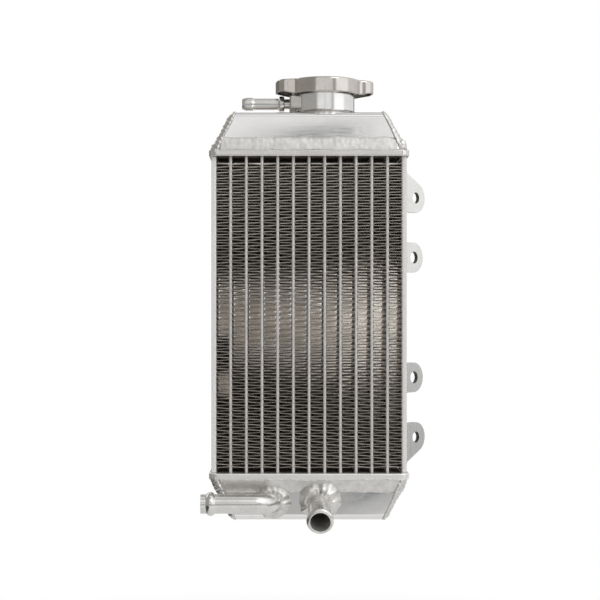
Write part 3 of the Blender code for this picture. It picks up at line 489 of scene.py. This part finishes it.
def makeFin(number):
    f = finSpec
    rng = random.Random(f["seed"] + number)
    middle = f["first"] + f["pitch"] * number
    rise = (f["high"] - f["low"]) / f["legs"]
    steps = np.arange(f["legs"] + 1)
    drift = f["drift"] * wander(steps, f["driftScale"], number)
    drift *= np.minimum(1, np.minimum(steps, steps[::-1]) / f["settle"])
    swing = f["crestSwing"] * wander(steps, f["crestScale"], number + f["crestSeed"])
    crests = np.clip(steps / f["legs"] + swing, 0, 1)
    path = []
    for k in steps:
        side = 1 if (k + number) % 2 else -1
        z = f["low"] + rise * k + drift[k] + rng.uniform(-1, 1) * f["jitter"]
        wall = middle + side * f["reach"]
        near = wall - side * f["corner"]
        crest = f["crest"][0] + (f["crest"][1] - f["crest"][0]) * crests[k]
        path += [(near, z - crest), (wall, z - 0.5 * crest), (wall, z + 0.5 * crest), (near, z + crest)]
    path = np.array(path)[2:-2]
    across = number / (f["columns"] - 1)
    turned = min(f["turned"][0] + f["turned"][1] * across ** f["turnedPower"], f["turned"][2])
    level = f["level"][0] + (f["level"][1] - f["level"][0]) * across
    level += rng.uniform(-f["levelSwing"], f["levelSwing"])
    knee = f["depth"] - turned
    ys = np.concatenate([np.linspace(-f["depth"], knee, f["rows"][0]),
                         np.linspace(knee, f["depth"], f["rows"][1])[1:]])
    hump = 0.5 - (ys / f["depth"]) ** 2
    flick = f["flick"] * np.maximum(0, (ys - knee) / turned)
    knocks = [knock[1:] for knock in f["knocks"] if knock[0] == number]
    points = []
    for x, z in path:
        bent = rng.gauss(0, 1) * f["bent"]
        above = int(z > level)
        fade = f["fade"][above] * (1 + f["spread"][above] * across ** 2)
        away = min(max((abs(z - level) - f["flat"]) / fade, 0), 1)
        bow = (-1) ** above * f["bow"][above] * away * away * (3 - 2 * away)
        tilt = 0
        for centre, half, hollow, lean in knocks:
            near = max(0, 1 - ((z - centre) / half) ** 2)
            bow += hollow * near
            tilt += lean * near
        lift = bow * hump + flick + tilt * ys / f["depth"]
        lift[0] += bent
        points += [(x, y, z + up) for y, up in zip(ys, lift)]
    faces = stripFaces(len(path), len(ys), wrapCols=False)
    fin = makePiece(f"finStrip_{number + 1:02d}", points, faces, finShadedDull, "radiator",
                    (f"fin_{number + 1:02d}",), sharp=f["sharp"])
    assign(fin.modifiers.new("gauge", "SOLIDIFY"), thickness=f["gauge"] * mm, offset=0)

for number in range(finSpec["columns"]):
    makeFin(number)
print("fins folded")

# weld beads: a swept bead with overlapping ripples
beadSpec = dict(
    step=0.36, sink=0.9, slow=0.11, quick=0.37, beatScale=0.06, beatSwing=0.8, power=0.8,
    taper=0.35, lean=0.0, leanSide=1, sharp=60, quickSeed=3, beatSeed=5,
)

def weldBead(name, points, outward, spec, wrap=False, swell=None):
    path, out, at = resample(points, outward, spec["step"], wrap)
    count, ring, seed, uneven = len(path), spec["around"], spec["seed"], spec["uneven"]
    ahead = np.roll(path, -1, 0) - np.roll(path, 1, 0) if wrap else np.gradient(path, axis=0)
    across = unit(np.cross(unit(ahead), out))
    size = 1 + uneven * wander(at, spec["slow"], seed)
    size = size + 0.5 * uneven * wander(at, spec["quick"], seed + spec["quickSeed"])
    if swell is not None:
        size = size * swell(at / at[-1])
    beat = at / spec["pitch"] + spec["beatSwing"] * wander(at, spec["beatScale"], seed + spec["beatSeed"])
    points = np.zeros((count, ring, 3))
    for j, turn in enumerate(roundTurns(ring)):
        a, h = math.cos(turn), math.sin(turn)
        ripple = np.abs(np.sin(math.pi * (beat + spec["curve"] * a * a))) ** spec["power"]
        wide = 0.5 * spec["width"] * size * (1 - spec["scallop"] + spec["scallop"] * ripple)
        if h > 0:
            tall = h ** spec["crown"] * spec["height"] * size * (1 - spec["ripple"] + spec["ripple"] * ripple)
            tall = tall + spec["lean"] * (0.5 + 0.5 * spec["leanSide"] * a)
        else:
            tall = np.full(count, h * spec["sink"])
        points[:, j] = path + across * (a * wide)[:, None] + out * tall[:, None]
    for i in range(count):
        for j in range(1, ring // 2):
            lump = noise.noise(Vector(points[i, j]) * spec["lumpScale"] + Vector((seed, 0, 0)))
            points[i, j] += out[i] * lump * spec["lump"]
    faces = stripFaces(count, ring, wrap)
    if not wrap:
        for end, k in ((0, 1), (count - 1, count - 2)):
            points[end] = path[end] + (points[k] - path[k]) * spec["taper"]
        faces += endFaces(count, ring)
    makePiece(name, points.reshape(-1, 3), faces, weldBright, "radiator", sharp=spec["sharp"])

bandSpec = dict(
    beadSpec, width=9.0, height=0.62, pitch=2.3, step=0.4, around=22, curve=1.5, lean=1.35, ripple=0.04,
    scallop=0.04, uneven=0.2, crown=0.45, lump=0.12, lumpScale=0.42, rise=3.6, proud=0.1, tilt=0.12,
    onEnd=(0.2, 0.9, 1.0, 0.05), onFace=(3.0, 1.0, 0.05, 1.0),  # inset, share of depth, outward x and y
)
seamSpec = dict(
    beadSpec, width=4.6, height=1.2, pitch=2.8, around=14, curve=0.45, ripple=0.32, scallop=0.12, uneven=0.25,
    crown=0.75, lump=0.4, lumpScale=0.4, start=1.0, inset=0.5, bury=0.4, outward=(0.66, 0.75, 0.15), sideSeed=20,
)
tankSpec = {
    "base": 61.9, "crown": 48.2, "depth": 23.0, "bend": 3.5, "bendSteps": 6,
    "tanks": {"topTank": (233.1, 259.4, 235.4, 1), "bottomTank": (27.8, 0.0, 25.5, 2)},  # base, crown, rim, seed
}
swellSpec = dict(crown=0.3, front=0.65, edge=0.3, soft=0.02, foot=0.4, footAt=0.05, footWide=0.06)

def seamSwell(share):
    s = swellSpec
    near = np.minimum(share, 1 - share)
    front = 1 / (1 + np.exp((near - s["edge"]) / s["soft"]))  # low and narrow along the crown
    return s["crown"] + s["front"] * front + s["foot"] * np.exp(-((near - s["footAt"]) / s["footWide"]) ** 2)

def bandWeld(label, base, crown, rim, seed):
    # between header rim and tank, all the way round
    t, b = tankSpec, bandSpec
    up = 1 if crown > base else -1
    level = rim + up * b["rise"]
    reach = t["base"] - (t["base"] - t["crown"]) / abs(crown - base) * abs(level - base)
    front = -t["depth"] - b["proud"]
    path, out = [], []
    for side, y in ((-1, front), (1, front), (1, -front), (-1, -front)):
        for first in (True, False):
            inset, share, outX, outY = b["onEnd" if first == (side * y > 0) else "onFace"]
            path.append((side * (reach - inset), y * share, level))
            out.append((side * outX, np.sign(y) * outY, up * b["tilt"]))
    weldBead(f"{label}Band", path, out, dict(b, seed=seed, leanSide=up), wrap=True)

def seamWelds(label, base, crown, seed):
    # round each slanted end, from foot to foot over the crown
    t, s = tankSpec, seamSpec
    up = 1 if crown > base else -1
    shoulder = crown - up * t["bend"]
    section = [(-t["depth"], base + up * s["start"]), (-t["depth"], shoulder)]
    facing = [(-1, 0), (-1, 0)]
    for y, start in ((-1, 180), (1, 90)):
        for k in range(t["bendSteps"] + 1):
            turn = math.radians(start - 90 / t["bendSteps"] * k)
            section.append((y * (t["depth"] - t["bend"]) + t["bend"] * math.cos(turn),
                            shoulder + up * t["bend"] * math.sin(turn)))
            facing.append((math.cos(turn), up * math.sin(turn)))
    section += [(t["depth"], shoulder), (t["depth"], base + up * s["start"])]
    facing += [(1, 0), (1, 0)]
    outX, outYZ, lift = s["outward"]
    for side, name in ((-1, "Left"), (1, "Right")):
        path, out = [], []
        for (y, z), (outY, outZ) in zip(section, facing):
            x = t["base"] + (t["crown"] - t["base"]) * ((z - base) / (crown - base)) - s["inset"]
            path.append((side * x, y - s["bury"] * outY, z - s["bury"] * outZ))
            out.append((side * outX, outYZ * outY, outYZ * outZ + up * lift))
        weldBead(f"{label}Seam{name}", path, out, dict(s, seed=seed + s["sideSeed"] + side),
                 swell=seamSwell)

for label, (base, crown, rim, seed) in tankSpec["tanks"].items():
    bandWeld(label, base, crown, rim, seed)
    seamWelds(label, base, crown, seed)

def ringBead(name, spec):
    axis = Vector(spec["axis"])
    side = axis.orthogonal().normalized()
    up = axis.cross(side)
    right, left, high = spec["grow"]

    def spokeAt(turn):
        return side * math.cos(turn) + up * math.sin(turn)

    def swell(share):
        spokes = [spokeAt(2 * math.pi * s) for s in share]
        return np.array([1 + right * max(v.x, 0) + high * max(v.z, 0) + left * max(-v.x, 0) for v in spokes])

    path, out = [], []
    for turn in roundTurns(spec["corners"]):
        spoke = spokeAt(turn)
        reach = spec["radius"] * (1 - spec["tuck"] * max(-spoke.z, 0))
        path.append(Vector(spec["centre"]) + spoke * reach)
        out.append(spoke * math.cos(spec["slope"]) + axis * math.sin(spec["slope"]))
    weldBead(name, path, out, spec, wrap=True, swell=swell)

# grow is what the bead gains to the right, to the left and upwards; tuck pulls its underside in
ringSpec = dict(seamSpec, corners=72, grow=(0, 0, 0), tuck=0, axis=(0, -1, 0), slope=math.radians(48))
neckRing = dict(
    ringSpec, centre=(capCentre, 0, 259.6), axis=(0, 0, 1), radius=20.2, width=6.6, height=1.4, pitch=3.6,
    ripple=0.05, scallop=0.03, lump=0.22, lumpScale=0.22, seed=31,
)
elbowRing = dict(
    ringSpec, centre=(-23.4, -23.2, 12.0), radius=8.3, slope=math.radians(45), grow=(0.35, 0, 0), width=6.8,
    height=2.0, pitch=4.4, ripple=0.22, scallop=0.05, lump=0.6, lumpScale=0.17, seed=41,
)
outletRing = dict(
    ringSpec, centre=(6.2, -23.0, 11.4), radius=10.2, grow=(0.45, -0.08, 0.3), tuck=0.25, width=8.8,
    height=2.3, pitch=5.2, ripple=0.1, scallop=0.05, lump=0.8, lumpScale=0.24, seed=51,
)
ringBead("neckWeld", neckRing)
ringBead("elbowWeld", elbowRing)
ringBead("outletWeld", outletRing)

stopSpec = dict(  # weld stop on the front right corner of the top tank
    seamSpec, place=(59.4, -23.6), levels=(232.2, 241.4, 5), facing=(0.2, -0.97, 0), swell=(0.5, 0.6), width=4.8,
    height=1.0, pitch=3.4, ripple=0.12, scallop=0.08, lump=0.35, lumpScale=0.3, seed=66,
)

def stopSwell(share):
    return stopSpec["swell"][0] + stopSpec["swell"][1] * np.sin(math.pi * share)

stopPath = [(*stopSpec["place"], z) for z in np.linspace(*stopSpec["levels"])]
weldBead("topTankStop", stopPath, [stopSpec["facing"]] * len(stopPath), stopSpec, swell=stopSwell)
print("weld beads laid")

# pipes: line gives (centre, side, up) at a distance, profile lists (distance, radius) outside
pipeSpec = dict(around=48, step=0.9, edge=0.8, edgeSteps=6, sharp=50)

def pipePiece(name, line, profile, spec, finish, node):
    around, bore = spec["around"], spec["bore"]
    outside = np.array(profile)
    end, mouth = outside[-1]
    fine = np.unique(np.concatenate([np.arange(0, end, spec["step"]), outside[:, 0]]))
    rings = list(zip(fine, np.interp(fine, outside[:, 0], outside[:, 1])))
    lip = (mouth - bore) / 2
    edge = lip * spec["edge"]
    for k in range(1, spec["edgeSteps"]):
        turn = math.pi * k / spec["edgeSteps"]
        rings.append((end + edge * math.sin(turn) - edge, bore + lip + lip * math.cos(turn)))
    dull = len(rings)
    rings += [(max(distance - edge, 0), bore) for distance in fine[::-1]]
    points = []
    for distance, radius in rings:
        centre, side, up = line(distance)
        for turn in roundTurns(around):
            points.append(centre + side * radius * math.cos(turn) + up * radius * math.sin(turn))
    faces = stripFaces(len(rings), around, wrapRows=True)
    pipe = makePiece(name, points, faces, finish, "radiator", (node,), sharp=spec["sharp"])
    # the bore faces take the painted shade finish
    pipe.data.materials.append(boreShadedDull)
    for face in pipe.data.polygons[dull * around:]:
        face.material_index = 1

def bentLine(spec):
    start, first, second = Vector(spec["start"]), Vector((0, -1, 0)), Vector(spec["towards"])
    lead, bend, angle = spec["lead"], spec["bend"], spec["angle"]
    hinge = first.cross(second)

    def line(distance):
        if distance <= lead:
            return start + first * distance, second, hinge
        turn = min((distance - lead) / bend, angle)
        forward = first * math.cos(turn) + second * math.sin(turn)
        inward = second * math.cos(turn) - first * math.sin(turn)
        centre = start + first * lead + second * bend - inward * bend
        centre += forward * max(distance - lead - bend * angle, 0)
        return centre, inward, hinge

    return line

def hosePipe(name, spec, node):
    end = spec["lead"] + spec["bend"] * spec["angle"] + spec["run"]
    start = end - spec["lip"] - spec["bead"]
    profile = [(0, spec["radius"])]
    for k in range(spec["beadSteps"] + 1):
        share = k / spec["beadSteps"]
        swell = spec["swell"] * math.sin(math.pi * share) ** spec["beadPower"]
        profile.append((start + spec["bead"] * share, spec["radius"] + swell))
    profile.append((end, spec["radius"]))
    pipePiece(name, bentLine(spec), profile, spec, pipePolished, node)

hoseSpec = dict(pipeSpec, swell=1.4, beadSteps=12, beadPower=0.75)
elbowSpec = dict(
    hoseSpec, start=(-23.4, -21.4, 12.0), towards=(-1, 0, 0), radius=6.1, bore=4.9, lead=4.1, bend=12.5,
    angle=math.pi / 2, run=32.3, lip=3.6, bead=5.4,
)
outletSpec = dict(
    hoseSpec, start=(6.2, -21.4, 11.2), towards=(0, 0, -1), radius=7.1, bore=6.2, lead=3.6, bend=15.0,
    angle=math.radians(17.5), run=26.5, lip=0.5, bead=3.2,
)
hosePipe("elbowPipe", elbowSpec, "elbow_stub")
hosePipe("outletPipe", outletSpec, "outlet_stub")

nippleSpec = dict(
    pipeSpec, around=40, start=-7.9, height=267.3, bore=2.0,
    profile=((0, 3.2), (7.6, 3.2), (8.0, 4.7), (8.5, 5.0), (10.6, 5.0), (11.1, 4.7), (11.4, 3.9), (11.9, 3.7),
             (27.4, 3.7), (28.0, 4.05), (29.0, 4.2), (32.2, 4.2), (33.6, 3.95), (35.2, 3.3)),
)

def nippleLine(distance):
    return Vector((nippleSpec["start"] - distance, 0, nippleSpec["height"])), Vector((0, 1, 0)), Vector((0, 0, 1))

pipePiece("nipplePipe", nippleLine, nippleSpec["profile"], nippleSpec, nippleShadedSatin, "overflow_nipple")
print("pipes bent")

# filler neck: turned body with notched collar, and the flat boss for the nipple
neckSpec = dict(
    radius=19.4, collar=21.6, bore=16.4, throat=12.0, base=259.7, seat=263.0, spigot=3,
    wall=2, collarLow=274.2, top=279.0, notch=math.radians(26.2), notchDepth=0.05, around=216,
    ease=0.5, under=0.2, foot=1, sharp=30,
)

def makeNeck():
    n, e, u = neckSpec, neckSpec["ease"], neckSpec["under"]
    throat, bore, radius, collar = n["throat"], n["bore"], n["radius"], n["collar"]
    base, seat, low, top = n["base"], n["seat"], n["collarLow"], n["top"]
    profile = [  # radius, height, part of the collar
        (throat, base - n["spigot"], 0), (throat, seat - e, 0), (throat + e, seat, 0), (bore - e, seat, 0),
        (bore, seat + e, 0), (bore, top - e, 0), (bore + e, top, 0), (collar - e, top, 1), (collar, top - e, 1),
        (collar, low + u, 1), (collar - u, low, 1), (radius + e, low, 0), (radius, low - e, 0),
        (radius, base + n["foot"], 0), (radius, base, 0), (throat + n["wall"], base, 0),
        (throat + n["wall"], base - n["spigot"], 0),
    ]
    points = []
    for reach, z, onCollar in profile:
        for turn in roundTurns(n["around"]):
            bearing = abs(math.atan2(math.sin(turn), math.cos(turn)))
            notched = onCollar and abs(bearing - math.pi / 2) < n["notch"]
            r = min(reach, radius + n["notchDepth"]) if notched else reach
            points.append((capCentre + r * math.cos(turn), r * math.sin(turn), z))
    faces = stripFaces(len(profile), n["around"], wrapRows=True)
    makePiece("neckBody", points, faces, neckTurned, "radiator", ("filler_neck",),
              sharp=n["sharp"])

makeNeck()
bossSpec = dict(low=(-12.3, -12.0, 263.3), high=(0.0, 12.0, 271.3), corner=1.4, ease=0.6, sharp=35)
bossPoints, bossFaces = roundedBox(bossSpec["low"], bossSpec["high"], bossSpec["corner"], bossSpec["ease"])
makePiece("neckBoss", bossPoints, bossFaces, bossCast, "radiator", sharp=bossSpec["sharp"])

# pressure cap cover
coverSpec = dict(
    radius=23.4, ear=8.1, width=20.0, corner=6.0, turn=math.radians(9.4), around=288,
    search=(60.0, 40), fillet=4, top=282.2, bottom=272.6, gauge=1.2, round=1.3, roundSteps=8,
    roll=0.3, rollSteps=4, drop=0.35, lift=1.2, sag=0.001, inner=(2.6, 14.0, 19.4),
    insideRound=(0.6, 0.8), insideLow=0.2, skirtLow=0.7, skirtHigh=0.5, sharp=50,
    inward=0.01, steep=0.3, deep=0.9,
    dish=((19.6, 0), (17.6, 0), (16.9, -0.25), (16.2, -0.25), (15.5, 0.0), (9.0, 0.05), (8.4, -0.2),
             (5.0, -0.2), (2.6, -0.2)),
)

def coverOutline(spec):
    half = spec["radius"] + spec["ear"] - spec["corner"]
    wide = spec["width"] / 2 - spec["corner"]
    reach = np.zeros(spec["around"])
    turns = 2 * math.pi * np.arange(spec["around"]) / spec["around"]
    farthest, rounds = spec["search"]
    for i, turn in enumerate(turns):
        low, high = 0.0, farthest
        c, s = abs(math.cos(turn - spec["turn"])), abs(math.sin(turn - spec["turn"]))
        for step in range(rounds):  # distance to a rounded bar along this heading
            r = (low + high) / 2
            dx, dy = max(r * c - half, 0), max(r * s - wide, 0)
            low, high = (r, high) if math.hypot(dx, dy) < spec["corner"] else (low, r)
        reach[i] = max(spec["radius"], low)
    for step in range(spec["fillet"]):
        reach = 0.25 * np.roll(reach, 1) + 0.5 * reach + 0.25 * np.roll(reach, -1)
    return turns, reach

def makeCover():
    s = coverSpec
    top, bottom, gauge, corner = s["top"], s["bottom"], s["gauge"], s["round"]
    turns, reach = coverOutline(s)
    heading = np.stack([np.cos(turns), np.sin(turns)], 1)
    outline = heading * reach[:, None]
    along = np.roll(outline, -1, 0) - np.roll(outline, 1, 0)
    inward = unit(np.stack([-along[:, 1], along[:, 0]], 1))
    share = np.clip((reach - s["radius"]) / s["ear"], 0, 1)
    ease = share * share * (3 - 2 * share)
    dropped, lifted, level = -s["drop"], s["lift"], -s["drop"] * s["sag"]
    rings = []

    def ring(loop, z, shift):
        rings.append(np.column_stack([loop + np.array((capCentre, 0.0)), z + shift * ease]))

    inside = outline + inward * gauge
    for radius in s["inner"]:
        ring(heading * radius, top - gauge, dropped)
    ring(inside + inward * s["insideRound"][0], top - gauge, dropped)
    ring(inside, top - gauge - s["insideRound"][1], dropped)
    ring(inside, bottom + s["insideLow"], lifted)
    for k in range(s["rollSteps"] + 1):  # rolled lower edge
        turn = math.pi * k / s["rollSteps"]
        z = bottom + s["roll"] - s["roll"] * math.sin(turn)
        ring(outline + inward * (gauge / 2) * (1 + math.cos(turn)), z, lifted)
    ring(outline, bottom + s["skirtLow"], lifted)
    ring(outline, top - corner - s["skirtHigh"], dropped)
    for k in range(s["roundSteps"] + 1):
        turn = math.pi / 2 * k / s["roundSteps"]
        ring(outline + inward * corner * (1 - math.cos(turn)), top - corner * (1 - math.sin(turn)), dropped)
    for radius, z in s["dish"]:
        ring(heading * radius, top + z, level)
    faces = stripFaces(len(rings), s["around"], wrapRows=True)
    cover = makePiece("capCover", np.vstack(rings), faces, capChrome, "cap_cover", ("cap_cover",),
                      sharp=s["sharp"])
    cover.data.materials.append(capInsideShaded)
    for face in cover.data.polygons:  # painted shade: the inside of the pressing and the inner half of its rolled rim take a darker, dull steel
        x, y, z = face.center / mm
        looksIn = face.normal.xy.dot(Vector((x - capCentre, y))) <= s["inward"]
        if face.normal.z < s["steep"] and z < top - s["deep"] * gauge and looksIn:
            face.material_index = 1

makeCover()
lugSpec = dict(
    inner=20.0, outer=22.6, low=272.6, high=273.8, half=math.radians(24), steps=16,
    section=((0.25, 0), (0, 0.25), (0, 0.75), (0.25, 1), (1, 1), (1, 0)),
)

def makeLug(name, bearing):
    g = lugSpec
    points = []
    for i in range(g["steps"] + 1):
        turn = bearing + g["half"] * (2 * i / g["steps"] - 1)
        for out, up in g["section"]:
            r = g["inner"] + (g["outer"] - g["inner"]) * out
            z = g["low"] + (g["high"] - g["low"]) * up
            points.append((capCentre + r * math.cos(turn), r * math.sin(turn), z))
    rows, cols = g["steps"] + 1, len(g["section"])
    makePiece(name, points, stripFaces(rows, cols) + endFaces(rows, cols), capChrome, "cap_cover")

makeLug("capLugFront", -math.pi / 2)
makeLug("capLugBack", math.pi / 2)
coilSpec = {"around": 14, "steps": 48, "flat": 0.75}  # ends lie flat for most of a turn
pressureCoil = dict(
    low=266.7, high=277.8, radius=9.5, wire=1.6, turns=4, body="cap_stack",
    node="pressure_spring", joint="pressure_valve_lift", anchor=(0.0104, 0, 0.2778), keep=0.775,
)
vacuumCoil = dict(
    low=266.7, high=270.6, radius=2.3, wire=0.5, turns=3, body="pressure_valve",
    node="vacuum_spring", joint="vacuum_valve_drop", anchor=(0.0104, 0, 0.2667), keep=0.615,
)

def makeCoil(name, spec):
    steps, around, half = coilSpec["steps"] * spec["turns"], coilSpec["around"], spec["wire"] / 2
    flat = coilSpec["flat"] / spec["turns"]
    points = []
    for i in range(steps + 1):
        share = i / steps
        turn = 2 * math.pi * spec["turns"] * share
        climb = min(max((share - flat) / (1 - 2 * flat), 0), 1)
        z = spec["low"] + half + (spec["high"] - spec["low"] - spec["wire"]) * climb
        spoke = Vector((math.cos(turn), math.sin(turn), 0))
        for a in roundTurns(around):
            middle = Vector((capCentre, 0, z)) + spoke * (spec["radius"] + half * math.cos(a))
            points.append(middle + Vector((0, 0, half * math.sin(a))))
    faces = stripFaces(steps + 1, around) + endFaces(steps + 1, around)
    coil = makePiece(name, points, faces, capSteel, spec["body"], (spec["node"],))
    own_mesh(coil)

makeCoil("pressureCoil", pressureCoil)
makeCoil("vacuumCoil", vacuumCoil)
print("cap built")

# stage: camera, tent, cards, lamp, floor
cameraSpec = dict(lens=94.27, sensor_width=36, shift_x=22 / 600, shift_y=20 / 600)
standSpec = dict(location=(-0.0198, -1.021, 0.1271), rotation_euler=(math.pi / 2, 0, 0))
cameraData = assign(bpy.data.cameras.new("mainCamera"), **cameraSpec)
camera = assign(bpy.data.objects.new("mainCamera", cameraData), **standSpec)
scene.collection.objects.link(camera)
scene.camera = camera

def glow(name, colour, strength=1.0):
    # colour is a tint, or the name of the colours stored on the mesh
    material = bpy.data.materials.new(name)
    tree = newTree(material, clear=True)
    if isinstance(colour, str):
        colour = addNode(tree, "ShaderNodeAttribute", attribute_name=colour).outputs["Color"]
    else:
        colour = (*colour, 1)
    light = addNode(tree, "ShaderNodeEmission", {"Color": colour, "Strength": strength})
    addNode(tree, "ShaderNodeOutputMaterial", {"Surface": light.outputs["Emission"]})
    return material

def stagePiece(name, points, faces, finish, seen=False):
    mesh = bpy.data.meshes.new(name)
    mesh.from_pydata(points, [], faces)
    mesh.materials.append(finish)
    piece = bpy.data.objects.new(name, mesh)
    scene.collection.objects.link(piece)
    piece.visible_camera = seen
    return piece

# light tent that the camera looks through, with panels joined softly:
# bearings to the right of the camera, heights in degrees, tint and level; the first that fits counts
tentSpec = dict(radius=6.0, middle=0.13, cell=2, low=-50, soften=2, rest=0.4, colours="panelLight")
plain, warm, cool = (1, 1, 1), (1.0, 0.965, 0.92), (0.84, 0.91, 1.0)
tentPanels = {
    "front": (-28, 26, 4, 22, plain, 0.87),
    "frontRight": (26, 36, 4, 22, plain, 0.45),
    "frontDim": (-28, 36, -4, 5, plain, 0.22),
    "frontBounce": (-28, 36, -14, -4, plain, 0.5),
    "frontLow": (-28, 36, -50, -14, plain, 0.42),
    "frontMid": (-28, 36, 22, 36, plain, 0.55),
    "strip": (-28, 36, 36, 50, plain, 1.2),
    "frontHigh": (-28, 36, 50, 75, plain, 0.55),
    "key": (36, 80, 0, 75, plain, 1.2),
    "right": (80, 108, 0, 75, plain, 0.85),
    "rightLow": (36, 108, -50, 0, plain, 0.36),
    "farRight": (108, 150, -50, 75, plain, 0.8),
    "backGlow": (150, 245, -8, 8, warm, 0.25),
    "backBand": (150, 245, -24, 24, warm, 0.2),
    "backHigh": (150, 245, 24, 44, warm, 1.3),
    "back": (150, 245, -50, 75, warm, 0.3),
    "left": (245, 332, -50, 75, warm, 0.37),
    "zenith": (-180, 180, 75, 90, plain, 0.8),
}

def tentLight(bearing, rise):
    for start, stop, low, high, colour, level in tentPanels.values():
        if low <= rise < high + (rise == 90) and (bearing - start) % 360 < stop - start + (stop - start == 360):
            return [c * level for c in colour]
    return [tentSpec["rest"]] * 3

def domePoint(bearing, rise, radius):
    turn, lift = math.radians(bearing), math.radians(rise)
    flat = radius * math.cos(lift)
    return flat * math.sin(turn), -flat * math.cos(turn), tentSpec["middle"] + radius * math.sin(lift)

def makeTent():
    bearings = np.arange(-180, 180, tentSpec["cell"])
    rises = np.arange(tentSpec["low"], 91, tentSpec["cell"])
    light = np.array([[tentLight(b, r) for b in bearings] for r in rises])
    for step in range(tentSpec["soften"]):
        light = 0.25 * np.roll(light, 1, 1) + 0.5 * light + 0.25 * np.roll(light, -1, 1)
        edge = np.concatenate([light[:1], light, light[-1:]])
        light = 0.25 * edge[:-2] + 0.5 * light + 0.25 * edge[2:]
    points = [domePoint(b, r, tentSpec["radius"]) for r in rises for b in bearings]
    faces = stripFaces(len(rises), len(bearings))
    tent = stagePiece("tent", points, faces, glow("tentGlow", tentSpec["colours"]))
    layer = tent.data.color_attributes.new(tentSpec["colours"], "FLOAT_COLOR", "POINT")
    layer.data.foreach_set("color", np.concatenate([light, np.ones_like(light[:, :, :1])], 2).ravel())

makeTent()
# small cards in front of the tent, seen in the tank faces, and a dark one low on the left
flagSpec = {
    "gap": 0.1,
    "cards": {"flagHigh": (-1.2, 3.4, 7.4, 8.7, cool, 0.06), "flagLow": (2.9, 4.9, -8.5, -7.1, cool, 0.1)},
}
for label, (start, stop, low, high, colour, level) in flagSpec["cards"].items():
    corners = ((start, low), (stop, low), (stop, high), (start, high))
    points = [domePoint(b, r, tentSpec["radius"] - flagSpec["gap"]) for b, r in corners]
    stagePiece(label, points, [(0, 1, 2, 3)], glow(f"{label}Card", colour, level))
shadeSpec = dict(corners=((-0.9, -0.5), (-0.9, 0.4), (-0.22, 0.4), (-0.22, -0.5)), height=-0.15, level=0.05)
shadePoints = [(x, y, shadeSpec["height"]) for x, y in shadeSpec["corners"]]
stagePiece("shadeLow", shadePoints, [(0, 1, 2, 3)], glow("shadeCard", plain, shadeSpec["level"]))

lampSpec = dict(place=(0.62, -0.95, 0.85), aim=(0, 0, 0.13), size=0.5, power=1.5)
lampAim = Vector(lampSpec["aim"]) - Vector(lampSpec["place"])
lampData = assign(bpy.data.lights.new("keySoftbox", "AREA"), size=lampSpec["size"], energy=lampSpec["power"])
lamp = bpy.data.objects.new("keySoftbox", lampData)
lamp.location = lampSpec["place"]
lamp.rotation_euler = lampAim.to_track_quat("-Z", "Y").to_euler()
scene.collection.objects.link(lamp)

# share of the rays that see plain white: those from the camera, mirrored or passed on
def seenRays(tree):
    rays = addNode(tree, "ShaderNodeLightPath").outputs
    seen = mathNode(tree, "MAXIMUM", rays["Is Camera Ray"], rays["Is Glossy Ray"])
    return mathNode(tree, "MAXIMUM", seen, rays["Is Transmission Ray"])

floorSpec = dict(
    radius=1.0, height=-0.2, around=96, rough=0.8, clouds=9.0, fade=(0.35, 0.9, 0.28, 1.0),
    paper=((0.86, 0.86, 0.86), (0.84, 0.84, 0.84)),
)

def makeFloor():
    f = floorSpec
    material = bpy.data.materials.new("floorPaper")
    tree = newTree(material)
    paper = tree.nodes["Principled BSDF"]
    clouds = placeGroup(tree, cloudGroup, Scale=f["clouds"])
    feed(tree, paper, {"Roughness": f["rough"], "Base Color": blendColour(tree, clouds, *f["paper"])})
    far = ramp(tree, vectorNode(tree, "LENGTH", placeOf(tree)), *f["fade"])
    white = addNode(tree, "ShaderNodeEmission")
    both = addNode(tree, "ShaderNodeMixShader", {"Fac": mathNode(tree, "MULTIPLY", seenRays(tree), far),
                                                 1: paper.outputs["BSDF"], 2: white.outputs["Emission"]})
    feed(tree, tree.nodes["Material Output"], {"Surface": both.outputs["Shader"]})
    points = [(f["radius"] * math.cos(turn), f["radius"] * math.sin(turn), f["height"])
              for turn in roundTurns(f["around"])]
    stagePiece("floor", points, [tuple(range(f["around"]))], material, seen=True)

makeFloor()
worldSpec = dict(dim=0.6, white=1.0)
scene.world = bpy.data.worlds.new("studioWorld")
worldTree = newTree(scene.world, clear=True)
worldFeeds = {"Fac": seenRays(worldTree)}
for place, label in ((1, "dim"), (2, "white")):
    sky = addNode(worldTree, "ShaderNodeBackground", {"Color": (1, 1, 1, 1), "Strength": worldSpec[label]})
    worldFeeds[place] = sky.outputs["Background"]
worldMix = addNode(worldTree, "ShaderNodeMixShader", worldFeeds)
addNode(worldTree, "ShaderNodeOutputWorld", {"Surface": worldMix.outputs["Shader"]})
print("stage set")
